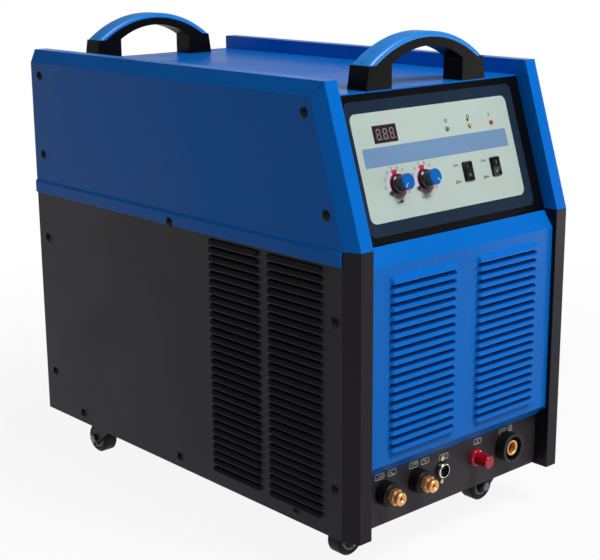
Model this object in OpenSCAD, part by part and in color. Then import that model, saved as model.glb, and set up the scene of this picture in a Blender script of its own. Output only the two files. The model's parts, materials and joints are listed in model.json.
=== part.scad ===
// Inverter plasma cutter with a built-in air pump: a folded sheet-metal cabinet on four
// swivel casters, with a sloped control panel, a louvred front and a recessed terminal panel.
// Millimetres, +Z up, +X to the right of someone who faces the front, front towards -Y.
// The origin is on the floor, under the middle of the whole machine.

/* [Cabinet] */
// Width over the side panels
body_w = 340; // [320:1:380]
// Depth from the front columns to the rear panel
body_d = 585; // [560:1:640]
// Height from the lower edge of the side panels to the rim
body_h = 474; // [460:1:500]
// Height of the black lower half
split_h = 310; // [296:1:320]
// How far the control panel leans back by the time it reaches the rim
slope_run = 53; // [45:1:60]
// Thickness of the folded sheet steel
sheet = 1.5; // [1.2:0.1:2]
// Gap left between two panels that meet
panel_gap = 0.3; // [0.2:0.05:0.4]

/* [Folded rim] */
// Width that the angled fold takes off each side, seen from the front
rim_inset = 7; // [6:0.5:9]
// Width of the flat face of the rim
rim_face = 17; // [15:0.5:20]
// Depth of the angled fold on the front columns
column_fold = 20; // [17:0.5:22]
// Depth of the angled fold along the sloped front
slope_fold = 17.5; // [15:0.5:20]
// Height of the angled fold along the top
top_fold = 16; // [13:0.5:18]
// Depth of the terminal panel behind the front columns
recess = 18.5; // [16:0.5:20]
// Depth of the control panel and the top plate below the rim
rim_recess = 17; // [15:0.5:18]
// How far the fold turns in past the recessed panels
return_tail = 3.5; // [2:0.5:5]
// Height of the upper cover's flange that laps the lower panel
lap_h = 16.5; // [12:0.5:20]
// How far that flange steps out
lap_out = 2.2; // [2.2:0.1:3]
// Height of the step itself
lap_step = 3; // [2:0.5:4]
// Depth of the screw line behind the folded front
screw_depth = 31; // [30:0.5:36]

/* [Side louvres] */
// Louvres in each side column
side_louvres = 30; // [24:1:30]
// Distance from the highest side louvre to the split line
side_louvre_top = 19.6; // [19:0.2:30]
// Length of a side louvre
side_louvre_l = 84; // [70:1:90]
// Height of a side louvre's hood
side_louvre_h = 7; // [6:0.25:7.5]
// How far a side louvre stands out
side_louvre_out = 4; // [3:0.25:4.5]
// Gap between the two columns of side louvres
side_louvre_gap = 14; // [10:1:20]
// Distance from the front columns to the first side louvres
side_louvre_y = 49; // [46:1:60]
// Height of the lowest side louvre
side_louvre_z = 17; // [16:0.5:20]

/* [Front grille] */
// Depth of the grille behind the front columns
grille_recess = 5; // [4:0.5:8]
// Height of the grille's lower edge
grille_edge = 62.5; // [60:0.5:66]
// Height of the grille's lower bend
grille_low = 76; // [72:1:80]
// Height of the bent strip above the louvred face
grille_strip = 20.5; // [18:0.5:24]
// Louvres in each front column
front_louvres = 20; // [14:1:20]
// Distance from the highest front louvre to the upper bend
front_louvre_top = 11.5; // [10:0.5:20]
// Length of a front louvre
front_louvre_l = 101; // [80:1:110]
// Height of a front louvre's hood
front_louvre_h = 7.8; // [6:0.2:8]
// How far a front louvre stands out
front_louvre_out = 4.5; // [3:0.25:5]
// Distance from the middle of the front to the inner end of a louvre
front_louvre_x = 16.5; // [12:0.5:24]
// Height of the lowest front louvre
front_louvre_z = 88.5; // [86:0.5:96]

/* [Control panel] */
// Thickness of the control panel
panel_t = 2; // [1.5:0.5:3]
// Width of the printed overlay
overlay_w = 260; // [240:1:270]
// Gap below the overlay
overlay_low = 6.5; // [4:0.5:8]
// Gap above the overlay
overlay_high = 7; // [5:0.5:10]
// Thickness of the overlay
overlay_t = 0.5; // [0.3:0.1:0.8]
// Corner radius of the overlay
overlay_r = 8; // [4:1:12]
// Width of the display window
window_w = 34.5; // [30:0.5:38]
// Height of the display window
window_h = 18.5; // [16:0.5:20]
// Place of the display from the panel's middle
window_x = -79.5; // [-84:0.5:-76]
// Height of the display, as a share of the panel's length
window_share = 0.718; // [0.7:0.002:0.73]
// Height of the three lamps, as a share of the panel's length
lamp_share = 0.688; // [0.66:0.002:0.72]
// Place of the first lamp from the panel's middle
lamp_x = 14; // [8:1:20]
// Distance from one lamp to the next
lamp_pitch = 36; // [25:1:40]
// Diameter of a lamp
lamp_d = 5; // [3:0.5:6]
// Height of the knobs and switches, as a share of the panel's length
control_share = 0.37; // [0.34:0.002:0.4]
// Places of the two knobs from the panel's middle
knob_xs = [-76, -35];
// Places of the two rocker switches from the panel's middle
rocker_xs = [32, 77.5];
// Diameter of a knob's skirt
knob_d = 20; // [18:1:22]
// How far a knob stands out
knob_h = 16.6; // [15:0.2:18]
// Diameter of a knob's cap
knob_cap_d = 17; // [15:0.5:18]
// Thickness of a knob's cap
cap_t = 2.4; // [1.5:0.1:4]
// Flutes round a knob
knob_flutes = 24; // [12:1:30]
// Diameter of a potentiometer shaft
shaft_d = 6; // [5:0.5:6.5]
// Width of a rocker switch's flange
rocker_w = 15; // [14:0.5:16]
// Height of a rocker switch's flange
rocker_l = 21; // [20:0.5:24]
// Angle from the middle to a rocker's stop
rocker_tilt = 9; // [6:0.5:10]

/* [Terminals] */
// Thickness of the terminal panel
terminal_t = 2; // [1.5:0.5:3]
// Height of the terminal panel
terminal_h = 72; // [68:1:74]
// Height of the row of terminals
terminal_z = 38; // [34:1:40]
// Places of the two torch connectors
torch_xs = [-109, -58.5];
// Radius of a torch connector's insulator
insulator_r = 13.5; // [12:0.5:15]
// How far an insulator stands out
insulator_out = 14; // [10:0.5:16]
// How far a brass connector stands out of the panel
torch_out = 27; // [24:0.5:30]
// Width across the flats of a brass hexagon
torch_hex = 16; // [14:0.5:18]
// Radius of a brass connector
torch_r = 7.3; // [6:0.1:7.6]
// Radius of the gas hole in a brass connector
torch_hole_r = 2; // [1.5:0.25:3]
// Place of the control socket
socket_x = -18.5; // [-24:0.5:-12]
// Radius of the control socket's shell
socket_r = 8.5; // [7.5:0.25:9]
// Distance from the control socket's middle to a fixing screw
socket_screw = 13.4; // [12.8:0.2:14.5]
// Place of the pilot arc binding post
post_x = 37; // [30:0.5:44]
// Radius of the binding post's screw cap
post_r = 7.5; // [6.5:0.25:8.5]
// How far the binding post stands out
post_out = 23; // [18:0.5:26]
// Place of the output socket
output_x = 89.5; // [84:0.5:96]
// Radius of the output socket's sleeve
output_r = 17; // [16:0.25:19]
// How far the sleeve stands out
output_out = 14; // [10:0.5:16]
// Radius of the output socket's bore
output_bore_r = 6.5; // [5:0.25:7]
// Depth of the output socket's bore
output_bore_l = 30; // [24:1:34]

/* [Handles] */
// Width of a handle at its feet
handle_w = 185; // [170:1:200]
// Depth of a handle from front to back
handle_t = 28; // [24:1:32]
// Height of a handle
handle_h = 56; // [50:1:62]
// Width of the opening under a handle
handle_open_w = 110; // [95:1:115]
// Height of the opening under a handle
handle_open_h = 41; // [36:1:42]
// Thickness of the coloured grip
grip_t = 6; // [4:0.5:7]

/* [Rear panel] */
// Size of a cooling fan
fan_w = 120; // [110:1:125]
// Depth of a cooling fan
fan_t = 38; // [25:1:40]
// Distance from the fans' axis up to the cabinet's top
fan_drop = 129; // [124:1:144]
// Distance of each fan's axis from the middle
fan_x = 66; // [64:1:72]
// Blades in a fan
fan_blades = 7; // [5:1:9]
// Place of the main breaker, across and up
breaker_at = [-82, 150];
// Place of the mains inlet gland, across and up
gland_at = [0, 95];
// Radius of the gland's bore
gland_bore_r = 8; // [6:0.25:9]
// Place of the earth stud, across and up
earth_at = [82, 60];
// Radius of the earth stud
earth_r = 4; // [3:0.5:5]
// How far the gland stands out, which is the furthest of anything on the rear
rear_out = 24; // [20:1:30]

/* [Casters] */
// Height of a caster, which is also the height of the side panels above the floor
caster_h = 52; // [48:1:60]
// Wheel diameter
wheel_d = 38; // [34:1:40]
// Wheel width
wheel_w = 20; // [14:1:24]
// Distance from the swivel axis back to the axle
trail = 22; // [18:1:24]
// Distance of the swivel axes from the middle of the machine
caster_x = 132; // [120:1:134]
// Distance of the front swivel axes from the front columns
caster_front = 77; // [70:1:90]
// Distance of the rear swivel axes from the rear panel
caster_rear = 90; // [80:1:110]
// Axle diameter
axle_d = 6; // [5:0.5:8]

/* [Screws] */
// Diameter of a case screw's head
screw_head_d = 12; // [10:0.5:13]
// Height of a case screw's head
screw_head_h = 3.2; // [2.5:0.1:4]
// Diameter of a case screw's shank
screw_d = 5; // [4:0.5:6]
// Distance from the columns to the first screw of the bottom row
bottom_screw_y = 92; // [80:1:110]
// Distance from one screw of the bottom row to the next
bottom_screw_pitch = 206; // [180:1:210]
// Height of the bottom row of screws
bottom_screw_z = 12; // [10:0.5:16]
// Distance from the columns to the screw on the lapped flange
lap_screw_y = 301; // [250:1:340]

/* [Inside] */
// Height of the shelf that carries the power electronics
deck_h = 205; // [190:1:220]
// Distance from the front columns to the shelf's front leg
deck_front = 60; // [54:1:70]
// Length of the shelf
deck_l = 380; // [360:1:400]

/* [Hidden] */
$fn = 64;

// Colours
blue = [0.02, 0.36, 0.78];
black = [0.15, 0.15, 0.16];
soft_black = [0.07, 0.07, 0.08];
zinc = [0.7, 0.71, 0.73];
brass = [0.78, 0.56, 0.3];
red = [0.62, 0.05, 0.08];

// Cabinet geometry
eps = 0.1;
side_x = body_w / 2;
rim_x = side_x - rim_inset - rim_face;       // inner face of the folded rim
slope_a = atan(slope_run / (body_h - split_h));
plate_z = body_h - rim_recess;               // upper face of the top plate
fan_z = body_h - fan_drop;                   // height of the fans' axis
rim_return = rim_recess + return_tail;       // depth of the turned-in wall on the slope and top
column_return = recess + return_tail;        // depth of the turned-in wall on the columns
inner_x = side_x - sheet - panel_gap;        // where the inner flanges stand
panel_x = rim_x - panel_gap;                 // half width of every recessed panel
flange_y = column_return + 2;                // plane of the stepped flanges behind the columns
flange_end = screw_depth + 14;
rear_flange = 34;
side_top = split_h - lap_step - 1;           // upper edge of a side panel's flat face
panel_foot_y = rim_recess / cos(slope_a);    // the control panel's face at the split line
plate_front_y = slope_y(plate_z, rim_recess);
panel_top = plate_z - sheet - panel_gap;     // upper edge of the control panel
panel_l = (panel_top - split_h) / cos(slope_a);
overlay_h = panel_l - overlay_low - overlay_high;
window_at = [window_x, window_share * panel_l];
lamp_s = lamp_share * panel_l;
control_s = control_share * panel_l;
grille_high = split_h - grille_strip;        // height of the grille's upper bend
side_pitch = (split_h - side_louvre_top - side_louvre_h - side_louvre_z) / (side_louvres - 1);
front_pitch = (grille_high - front_louvre_top - front_louvre_h - front_louvre_z) / (front_louvres - 1);
torch_face_y = recess - torch_out;
front_out = -torch_face_y;                   // furthest point in front of the columns
front_y = -(front_out + body_d + rear_out) / 2 + front_out;
clear = 0.2;                                 // gap round a piece in its hole
run_gap = 0.06;                              // radial clearance of a turning fit
rear_in_y = body_d - sheet;

// Height of the slope's face, moved inwards by o, as a distance behind the columns
function slope_y(z, o) = (z - split_h) * tan(slope_a) + o / cos(slope_a);

// Folded sheet: points, directions and mitred corners
function unit(v) = v / norm(v);
function left_of(v) = [-v[1], v[0]];
function reversed(p) = [for (i = [len(p) - 1:-1:0]) p[i]];
function corner(a, b) = (a + b) / (1 + a * b);
function shifted(p, d) = let (n = len(p) - 1) [
    for (i = [0:n])
        let (a = i > 0 ? left_of(unit(p[i] - p[i - 1])) : left_of(unit(p[1] - p[0])))
        let (b = i < n ? left_of(unit(p[i + 1] - p[i])) : a)
        p[i] + d * corner(a, b)
];
function mirrored(p) = [for (q = reversed(p)) [-q[0], q[1]]];

// A strip of sheet whose outer face follows the path, with its thickness to the right of it
module folded(path, t = sheet) {
    polygon(concat(path, reversed(shifted(path, -t))));
}

// 2D shapes set along each axis
module along_x(a, b) { translate([a, 0, 0]) rotate([90, 0, 90]) linear_extrude(b - a) children(); }
module along_y(a, b) { translate([0, b, 0]) rotate([90, 0, 0]) linear_extrude(b - a) children(); }
module along_z(a, b) { translate([0, 0, a]) linear_extrude(b - a) children(); }

// Cabinet frame: x from the middle, y back from the columns, z up from the side panels' lower edge
module cabinet() { translate([0, front_y, caster_h]) children(); }
// Control panel frame: x across, y up the slope, z out of the panel's face
module on_panel() { cabinet() translate([0, panel_foot_y, split_h]) rotate([90 - slope_a, 0, 0]) children(); }
// Frames on the terminal panel's face and on the rear panel's inner face: y up, z out of the face
module on_terminals(x) { cabinet() translate([x, recess, terminal_z]) rotate([90, 0, 0]) children(); }
module on_rear(x, z) { cabinet() translate([x, rear_in_y, z]) rotate([90, 0, 180]) children(); }
module both_sides() { children(); mirror([1, 0, 0]) children(); }

module rounded(w, h, r) {
    square([w - 2 * r, h], center = true);
    square([w, h - 2 * r], center = true);
    for (x = [-1, 1], y = [-1, 1]) translate([x * (w / 2 - r), y * (h / 2 - r)]) circle(r);
}
module ring(r_out, r_in, h) {
    difference() {
        cylinder(r = r_out, h = h);
        translate([0, 0, -eps]) cylinder(r = r_in, h = h + 2 * eps);
    }
}
module hex(flats, h) { cylinder(r = flats / sqrt(3), h = h, $fn = 6); }

// Louvres: x along the louvre, y up, z out of the sheet, with the opening below each hood.
// The ends of a hood lean inwards, as pressed sheet does.
function arch_c(rise, out) = (rise * rise - out * out) / (2 * out);
module hood_profile(rise, out, cut) {
    c = arch_c(rise, out);
    low = cut ? -eps : 0;
    back = cut ? sheet + eps : sheet / 2;
    intersection() {
        translate([0, -c]) circle(out + c - (cut ? sheet * 0.8 : 0), $fn = 96);
        translate([low, -back]) square([rise - low, out + back]);
    }
}
module hood_outline(l, rise, cut) {
    side = cut ? sheet * 0.8 : 0;
    low = cut ? -eps : 0;
    r = rise * 0.7;
    translate([side, low]) square([l - 2 * side, rise - r - low]);
    translate([r, low]) square([l - 2 * r, rise - side - low]);
    for (x = [r, l - r]) translate([x, rise - r]) circle(r - side);
}
module hood_ends(l, out, cut) {
    side = cut ? sheet * 0.8 : 0;
    deep = -sheet - 2 * eps;
    lean = 0.7;
    polygon([
        [side, deep], [side, 0], [side + lean * (out + 1), out + 1],
        [l - side - lean * (out + 1), out + 1], [l - side, 0], [l - side, deep]
    ]);
}
module louvre(l, rise, out, cut) {
    intersection() {
        along_x(-1, l + 1) hood_profile(rise, out, cut);
        along_y(-1, rise + 1) hood_ends(l, out, cut);
        translate([0, 0, -sheet - 2 * eps]) linear_extrude(out + sheet + 4 * eps) hood_outline(l, rise, cut);
    }
}
module louvres(xs, n, pitch, l, rise, out, cut) {
    for (x = xs, i = [0:n - 1]) translate([x, i * pitch, 0]) louvre(l, rise, out, cut);
}

// Outer form of the upper half, moved inwards by o and left open at the rear and below
module upper_form(o) {
    low = split_h - (o > 0 ? eps : 0);
    long = body_d + (o > 0 ? eps : 0);
    top = body_h - o;
    rim = [[-side_x, 0], [-side_x, body_h - top_fold], [-side_x + rim_inset, body_h]];
    lean = [[-side_x, -body_d], [-side_x, -slope_fold], [-side_x + rim_inset, 0]];
    intersection() {
        along_x(-side_x, side_x)
            polygon([[slope_y(low, o), low], [slope_y(top, o), top], [long, top], [long, low]]);
        along_y(-eps, long + eps) polygon(concat(shifted(rim, -o), mirrored(shifted(rim, -o))));
        translate([0, 0, split_h]) rotate([90 - slope_a, 0, 0]) along_y(-body_h, body_h)
            polygon(concat(shifted(lean, -o), mirrored(shifted(lean, -o))));
    }
}

// Case screws on each side, as distance behind the columns and height
rear_line = body_d - 18;
lower_screws = concat(
    [for (y = [screw_depth, rear_line], z = [54, split_h - 75]) [y, z]],
    [for (i = [0:2]) [bottom_screw_y + i * bottom_screw_pitch, bottom_screw_z]]
);
upper_screw_zs = [split_h + 33, body_h - 32];
upper_screws = concat(
    [for (z = upper_screw_zs) [slope_y(z, screw_depth), z]],
    [for (z = upper_screw_zs) [rear_line, z]]
);
lap_screws = [[lap_screw_y, split_h - 13]];
module screw_holes() {
    both_sides()
        for (p = concat(lower_screws, upper_screws, lap_screws))
            translate([rim_x + 4, p[0], p[1]]) rotate([0, 90, 0]) cylinder(d = screw_d + 2 * clear, h = 30);
}
module button_screw() {
    ball_r = (pow(screw_head_d / 2, 2) + pow(screw_head_h, 2)) / (2 * screw_head_h);
    difference() {
        union() {
            intersection() {
                translate([0, 0, screw_head_h - ball_r]) sphere(ball_r);
                cylinder(d = screw_head_d, h = screw_head_h);
            }
            translate([0, 0, -9]) cylinder(d = screw_d, h = 9.5);
        }
        for (a = [0, 90]) rotate([0, 0, a])
            translate([-2.6, -0.5, screw_head_h - 1.4]) cube([5.2, 1, 3]);
    }
}

// Black lower side panels with two columns of louvres
module side_louvre_bank(cut) {
    far = -side_louvre_y - 2 * side_louvre_l - side_louvre_gap;
    translate([-side_x, 0, side_louvre_z]) rotate([90, 0, -90])
        louvres([far, far + side_louvre_l + side_louvre_gap], side_louvres, side_pitch,
            side_louvre_l, side_louvre_h, side_louvre_out, cut);
}
module lower_side() {
    color(black) cabinet() difference() {
        union() {
            along_z(0, split_h - panel_gap) folded([
                [-rim_x, column_return], [-rim_x, 0], [-side_x + rim_inset, 0],
                [-side_x, column_fold], [-side_x, body_d]
            ]);
            side_louvre_bank(false);
        }
        side_louvre_bank(true);
        translate([-side_x - 1, column_fold, side_top]) cube([sheet + 2, body_d, lap_h]);
        screw_holes();
    }
}
module side_panel_left() { lower_side(); }
module side_panel_right() { mirror([1, 0, 0]) lower_side(); }

// Blue upper covers: side, angled folds, rim, turned-in wall and the stepped flange that laps
// the lower panel
module upper_side() {
    color(blue) cabinet() difference() {
        union() {
            difference() {
                upper_form(0);
                upper_form(sheet);
                translate([-rim_x, -eps, 0]) cube([2 * side_x, body_d + 1, body_h + 1]);
            }
            difference() {
                intersection() {
                    upper_form(0);
                    translate([-rim_x - sheet, -eps, 0]) cube([sheet, body_d + 1, body_h + 1]);
                }
                upper_form(rim_return);
            }
            along_y(column_fold, body_d) folded([
                [-side_x - lap_out, split_h - lap_h], [-side_x - lap_out, split_h - lap_step],
                [-side_x, split_h], [-side_x, split_h + 5]
            ]);
        }
        screw_holes();
    }
}
module cover_left() { upper_side(); }
module cover_right() { mirror([1, 0, 0]) upper_side(); }

// Front grille: a bent panel with two columns of louvres and stepped flanges for the side screws
lip_y = recess - panel_gap - sheet * 0.75;
grille_top = [recess - 1, split_h - 2];
seam_flange = 12;                            // return under the control panel's lower edge
module stepped_flanges(low, high, t) {
    both_sides() {
        translate([panel_x - t, flange_y, low]) cube([inner_x - panel_x + t, t, high - low]);
        translate([inner_x - t, flange_y, low]) cube([t, flange_end - flange_y, high - low]);
    }
}
module front_louvre_bank(cut) {
    translate([0, grille_recess, front_louvre_z]) rotate([90, 0, 0])
        louvres([-front_louvre_x - front_louvre_l, front_louvre_x], front_louvres, front_pitch,
            front_louvre_l, front_louvre_h, front_louvre_out, cut);
}
module front_grille() {
    low = terminal_h + 1;
    high = split_h - 10;
    back = flange_y + sheet;
    color(blue) cabinet() difference() {
        union() {
            along_x(-panel_x, panel_x) folded([
                [lip_y, grille_edge], [grille_recess, grille_low], [grille_recess, grille_high], grille_top,
                grille_top + seam_flange * [cos(slope_a), -sin(slope_a)]
            ]);
            both_sides() along_x(panel_x - sheet, panel_x) polygon([
                [grille_recess, low], [grille_recess, grille_high], grille_top, [back, high], [back, low]
            ]);
            stepped_flanges(low, high, sheet);
            front_louvre_bank(false);
        }
        front_louvre_bank(true);
        screw_holes();
    }
}

// Terminal panel
module terminal_panel() {
    low = sheet + panel_gap;
    color(black) difference() {
        cabinet() difference() {
            union() {
                translate([-panel_x, recess, low]) cube([2 * panel_x, terminal_t, terminal_h - low]);
                both_sides() translate([panel_x - terminal_t, recess, low])
                    cube([terminal_t, flange_y - recess + eps, terminal_h - low]);
                stepped_flanges(low, terminal_h, terminal_t);
            }
            screw_holes();
        }
        for (x = torch_xs) on_terminals(x) panel_hole(insulator_neck + clear);
        on_terminals(socket_x) {
            panel_hole(socket_r + clear);
            for (s = [-1, 1]) translate([0, s * socket_screw, 0]) panel_hole(1.5 + clear);
        }
        on_terminals(post_x) panel_hole(post_neck + clear);
        on_terminals(output_x) panel_hole(sleeve_neck + clear);
    }
}
module panel_hole(r) { translate([0, 0, -terminal_t - 1]) cylinder(r = r, h = terminal_t + 2); }
insulator_neck = insulator_r - 3.5;
post_neck = 5;
sleeve_neck = output_r - 2;

// Control panel with the printed overlay
step_n = rim_return - rim_recess + 2;
module control_panel() {
    color(black) difference() {
        union() {
            on_panel() {
                translate([-panel_x, panel_gap, -panel_t]) cube([2 * panel_x, panel_l - panel_gap, panel_t]);
                translate([-rim_x + 8, panel_gap, -14]) cube([2 * rim_x - 16, panel_t, 13]);
                both_sides() {
                    along_y(panel_gap, panel_l - 8) folded([
                        [-inner_x, rim_recess - flange_end], [-inner_x, -step_n], [-panel_x, -step_n],
                        [-panel_x, 0], [-panel_x + 8, 0]
                    ], panel_t);
                }
            }
            cabinet() translate([-rim_x + 8, plate_front_y - 0.2, panel_top - panel_t])
                cube([2 * rim_x - 16, 24, panel_t]);
        }
        cabinet() {
            screw_holes();
            for (s = [-1, 1]) translate([s * bolt_x - 7, plate_front_y + 1.8, plate_z - 10]) cube([14, 30, 9]);
        }
        on_panel() translate([0, 0, -panel_t - 1]) linear_extrude(panel_t + 2) control_holes(clear);
    }
}
module control_holes(c) {
    translate(window_at) square([window_w + 2 * c, window_h + 2 * c], center = true);
    for (i = [0:2]) translate([lamp_x + i * lamp_pitch, lamp_s]) circle(lamp_d / 2 + c);
    for (x = knob_xs) translate([x, control_s]) circle(bushing_r + c);
    for (x = rocker_xs) translate([x, control_s])
        square([rocker_w - 2 + 2 * c, rocker_l - 2 + 2 * c], center = true);
}
bushing_r = shaft_d / 2 + 1.5;
module panel_overlay() {
    color([0.13, 0.22, 0.3]) on_panel() linear_extrude(overlay_t) difference() {
        translate([0, overlay_low + overlay_h / 2]) rounded(overlay_w, overlay_h, overlay_r);
        control_holes(clear);
    }
}
module display_module() {
    color(soft_black) on_panel() translate([window_at[0], window_at[1], -panel_t]) {
        translate([-window_w / 2 - 6, -window_h / 2 - 4, -9]) cube([window_w + 12, window_h + 8, 9]);
        translate([-window_w / 2 - 8, -window_h / 2 - 6, -10.6]) cube([window_w + 16, window_h + 12, 1.6]);
    }
}
module display_window() {
    color([0.05, 0.05, 0.06]) on_panel() translate([window_at[0] - window_w / 2, window_at[1] - window_h / 2, -panel_t])
        cube([window_w, window_h, panel_t + overlay_t + 0.3]);
}
module lamp(i) {
    on_panel() translate([lamp_x + i * lamp_pitch, lamp_s, -panel_t]) {
        translate([0, 0, -1.2]) cylinder(r = lamp_d / 2 + 0.6, h = 1.2);
        cylinder(r = lamp_d / 2, h = panel_t + overlay_t + 0.4);
        translate([0, 0, panel_t + overlay_t + 0.4]) sphere(lamp_d / 2);
        for (s = [-1, 1]) translate([s * 1.27 - 0.25, -0.25, -12]) cube([0.5, 0.5, 11.5]);
    }
}
module lamp_green() { color([0.1, 0.55, 0.25]) lamp(0); }
module lamp_amber() { color([0.8, 0.45, 0.05]) lamp(1); }
module lamp_red() { color([0.7, 0.06, 0.05]) lamp(2); }

// Knobs on the shafts of two potentiometers
shaft_r = shaft_d / 2;
cap_r = knob_cap_d / 2;
spigot_r = 5;
module potentiometers() {
    color(zinc) on_panel() for (x = knob_xs) translate([x, control_s, 0]) {
        difference() {
            union() {
                translate([0, 0, -panel_t - 10]) cylinder(r = knob_d / 2 - 1.5, h = 10);
                translate([0, 0, -panel_t - 1]) cylinder(r = bushing_r, h = panel_t + overlay_t + 4);
                translate([0, 0, overlay_t]) hex(12, 2);
                translate([-6, -knob_d / 2 - 5, -panel_t - 8]) cube([12, 8, 1.5]);
            }
            translate([0, 0, -panel_t - 8]) cylinder(r = shaft_r + run_gap, h = 30);
        }
    }
}
module knob(x) {
    foot = overlay_t + 0.6;
    body_low = foot + 4;
    color(soft_black) on_panel() translate([x, control_s, 0]) {
        difference() {
            union() {
                translate([0, 0, foot]) cylinder(r = knob_d / 2, h = 3);
                translate([0, 0, foot + 3]) cylinder(r1 = knob_d / 2, r2 = cap_r, h = 1);
                translate([0, 0, body_low]) cylinder(r = cap_r, h = knob_h - cap_t - body_low);
            }
            translate([0, 0, foot - 1]) cylinder(r = cap_r - 0.6, h = 4.2);
            translate([0, 0, knob_h - cap_t - 2.2]) cylinder(r = spigot_r + 0.1, h = 3);
            for (i = [0:knob_flutes - 1]) rotate([0, 0, (i + 0.5) * 360 / knob_flutes])
                translate([cap_r + 0.3, 0, body_low]) cylinder(r = 0.6, h = knob_h);
        }
        translate([0, 0, -panel_t - 7.5]) cylinder(r = shaft_r, h = panel_t + knob_h + 2);
    }
}
module knob_cap(x, turn) {
    low = knob_h - cap_t;
    color(blue) on_panel() translate([x, control_s, 0]) rotate([0, 0, turn]) difference() {
        union() {
            translate([0, 0, low - 2]) cylinder(r = spigot_r, h = 3);
            translate([0, 0, low]) cylinder(r = cap_r, h = cap_t - 0.6);
            translate([0, 0, knob_h - 0.6]) cylinder(r1 = cap_r, r2 = cap_r - 0.6, h = 0.6);
        }
        translate([2.2, -0.45, knob_h - 0.4]) cube([cap_r, 0.9, 1]);
    }
}
module knob_left() { knob(knob_xs[0]); }
module knob_right() { knob(knob_xs[1]); }
module knob_left_cap() { knob_cap(knob_xs[0], -135); }
module knob_right_cap() { knob_cap(knob_xs[1], -45); }

// Rocker switches
paddle_r = rocker_l / 2 - 1.5;
paddle_n = overlay_t - 1.5;
module rocker_housings() {
    color(soft_black) on_panel() for (x = rocker_xs) translate([x, control_s, 0]) difference() {
        union() {
            translate([0, 0, overlay_t]) linear_extrude(1.8) rounded(rocker_w, rocker_l, 1.5);
            translate([0, 0, -panel_t - 14]) linear_extrude(panel_t + 15)
                square([rocker_w - 2, rocker_l - 2], center = true);
            for (s = [-5, 0, 5]) translate([-2.4, s - 0.4, -panel_t - 22]) cube([4.8, 0.8, 9]);
        }
        translate([0, 0, paddle_n - paddle_r - 0.2]) linear_extrude(30)
            square([rocker_w - 3.6, 2 * paddle_r + 0.4], center = true);
    }
}
module rocker(x, tilt) {
    w = rocker_w - 4;
    ridge = 4.4;
    fall = paddle_r * tan(rocker_tilt);
    color(black) on_panel() translate([x, control_s, paddle_n]) rotate([tilt, 0, 0]) along_x(-w / 2, w / 2)
        intersection() {
            circle(paddle_r);
            polygon([
                [-paddle_r, -4], [-paddle_r, ridge - fall], [0, ridge], [paddle_r, ridge - fall], [paddle_r, -4]
            ]);
        }
}
module rocker_left() { rocker(rocker_xs[0], -rocker_tilt); }
module rocker_right() { rocker(rocker_xs[1], rocker_tilt); }

// Torch connectors: a brass gas and current terminal in an insulator
module terminal_insulators() {
    color(soft_black) for (x = torch_xs) on_terminals(x) difference() {
        union() {
            cylinder(r = insulator_r, h = insulator_out - 1.5);
            translate([0, 0, insulator_out - 1.5]) cylinder(r1 = insulator_r, r2 = insulator_r - 1.5, h = 1.5);
            translate([0, 0, -terminal_t - 5]) cylinder(r = insulator_neck, h = terminal_t + 6);
        }
        translate([0, 0, -20]) cylinder(r = torch_shank + clear, h = 40);
    }
}
torch_shank = torch_r - 1.3;
module torch_connectors() {
    color(brass) for (x = torch_xs) on_terminals(x) difference() {
        union() {
            translate([0, 0, insulator_out]) hex(torch_hex, 6);
            translate([0, 0, insulator_out]) cylinder(r = torch_r, h = torch_out - insulator_out - 1.2);
            translate([0, 0, torch_out - 1.2]) cylinder(r1 = torch_r, r2 = torch_r - 1.2, h = 1.2);
            translate([0, 0, -24]) cylinder(r = torch_shank, h = insulator_out + 25);
            translate([0, 0, -terminal_t - 11]) hex(torch_hex + 2, 6);
        }
        translate([0, 0, -25]) cylinder(r = torch_hole_r, h = torch_out + 30);
        translate([0, 0, torch_out - 2]) cylinder(r1 = torch_hole_r, r2 = torch_hole_r + 2.2, h = 2.2);
    }
}

// Control socket: a screwed shell with a three-pin insert and a gasket under its rim
module control_socket() {
    color(zinc) on_terminals(socket_x) {
        difference() {
            union() {
                translate([0, 0, -11]) cylinder(r = socket_r, h = 15.7);
                translate([0, 0, 4.7]) cylinder(r1 = socket_r, r2 = socket_r - 0.8, h = 0.8);
                translate([0, 0, -terminal_t - 1.6]) linear_extrude(1.6)
                    rounded(2 * socket_r + 5, 2 * socket_screw + 8, 3);
            }
            translate([0, 0, -12]) cylinder(r = socket_r - 1.6, h = 20);
            for (s = [-1, 1]) translate([0, s * socket_screw, -terminal_t - 3]) cylinder(r = 1.7, h = 5);
        }
        for (s = [-1, 1]) translate([0, s * socket_screw, 0]) difference() {
            union() {
                cylinder(r = 2.4, h = 1.4);
                translate([0, 0, -terminal_t - 4]) cylinder(r = 1.5, h = terminal_t + 4.5);
            }
            translate([-3, -0.3, 0.8]) cube([6, 0.6, 1]);
        }
    }
}
module control_socket_insert() {
    color(soft_black) on_terminals(socket_x) {
        translate([0, 0, -10.5]) cylinder(r = socket_r - 1.7, h = 10);
        for (a = [90, 210, 330]) rotate([0, 0, a]) translate([3.6, 0, -16]) cylinder(r = 0.8, h = 20);
        ring(socket_r + 1.8, socket_r + clear, 1.2);
    }
}

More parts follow.
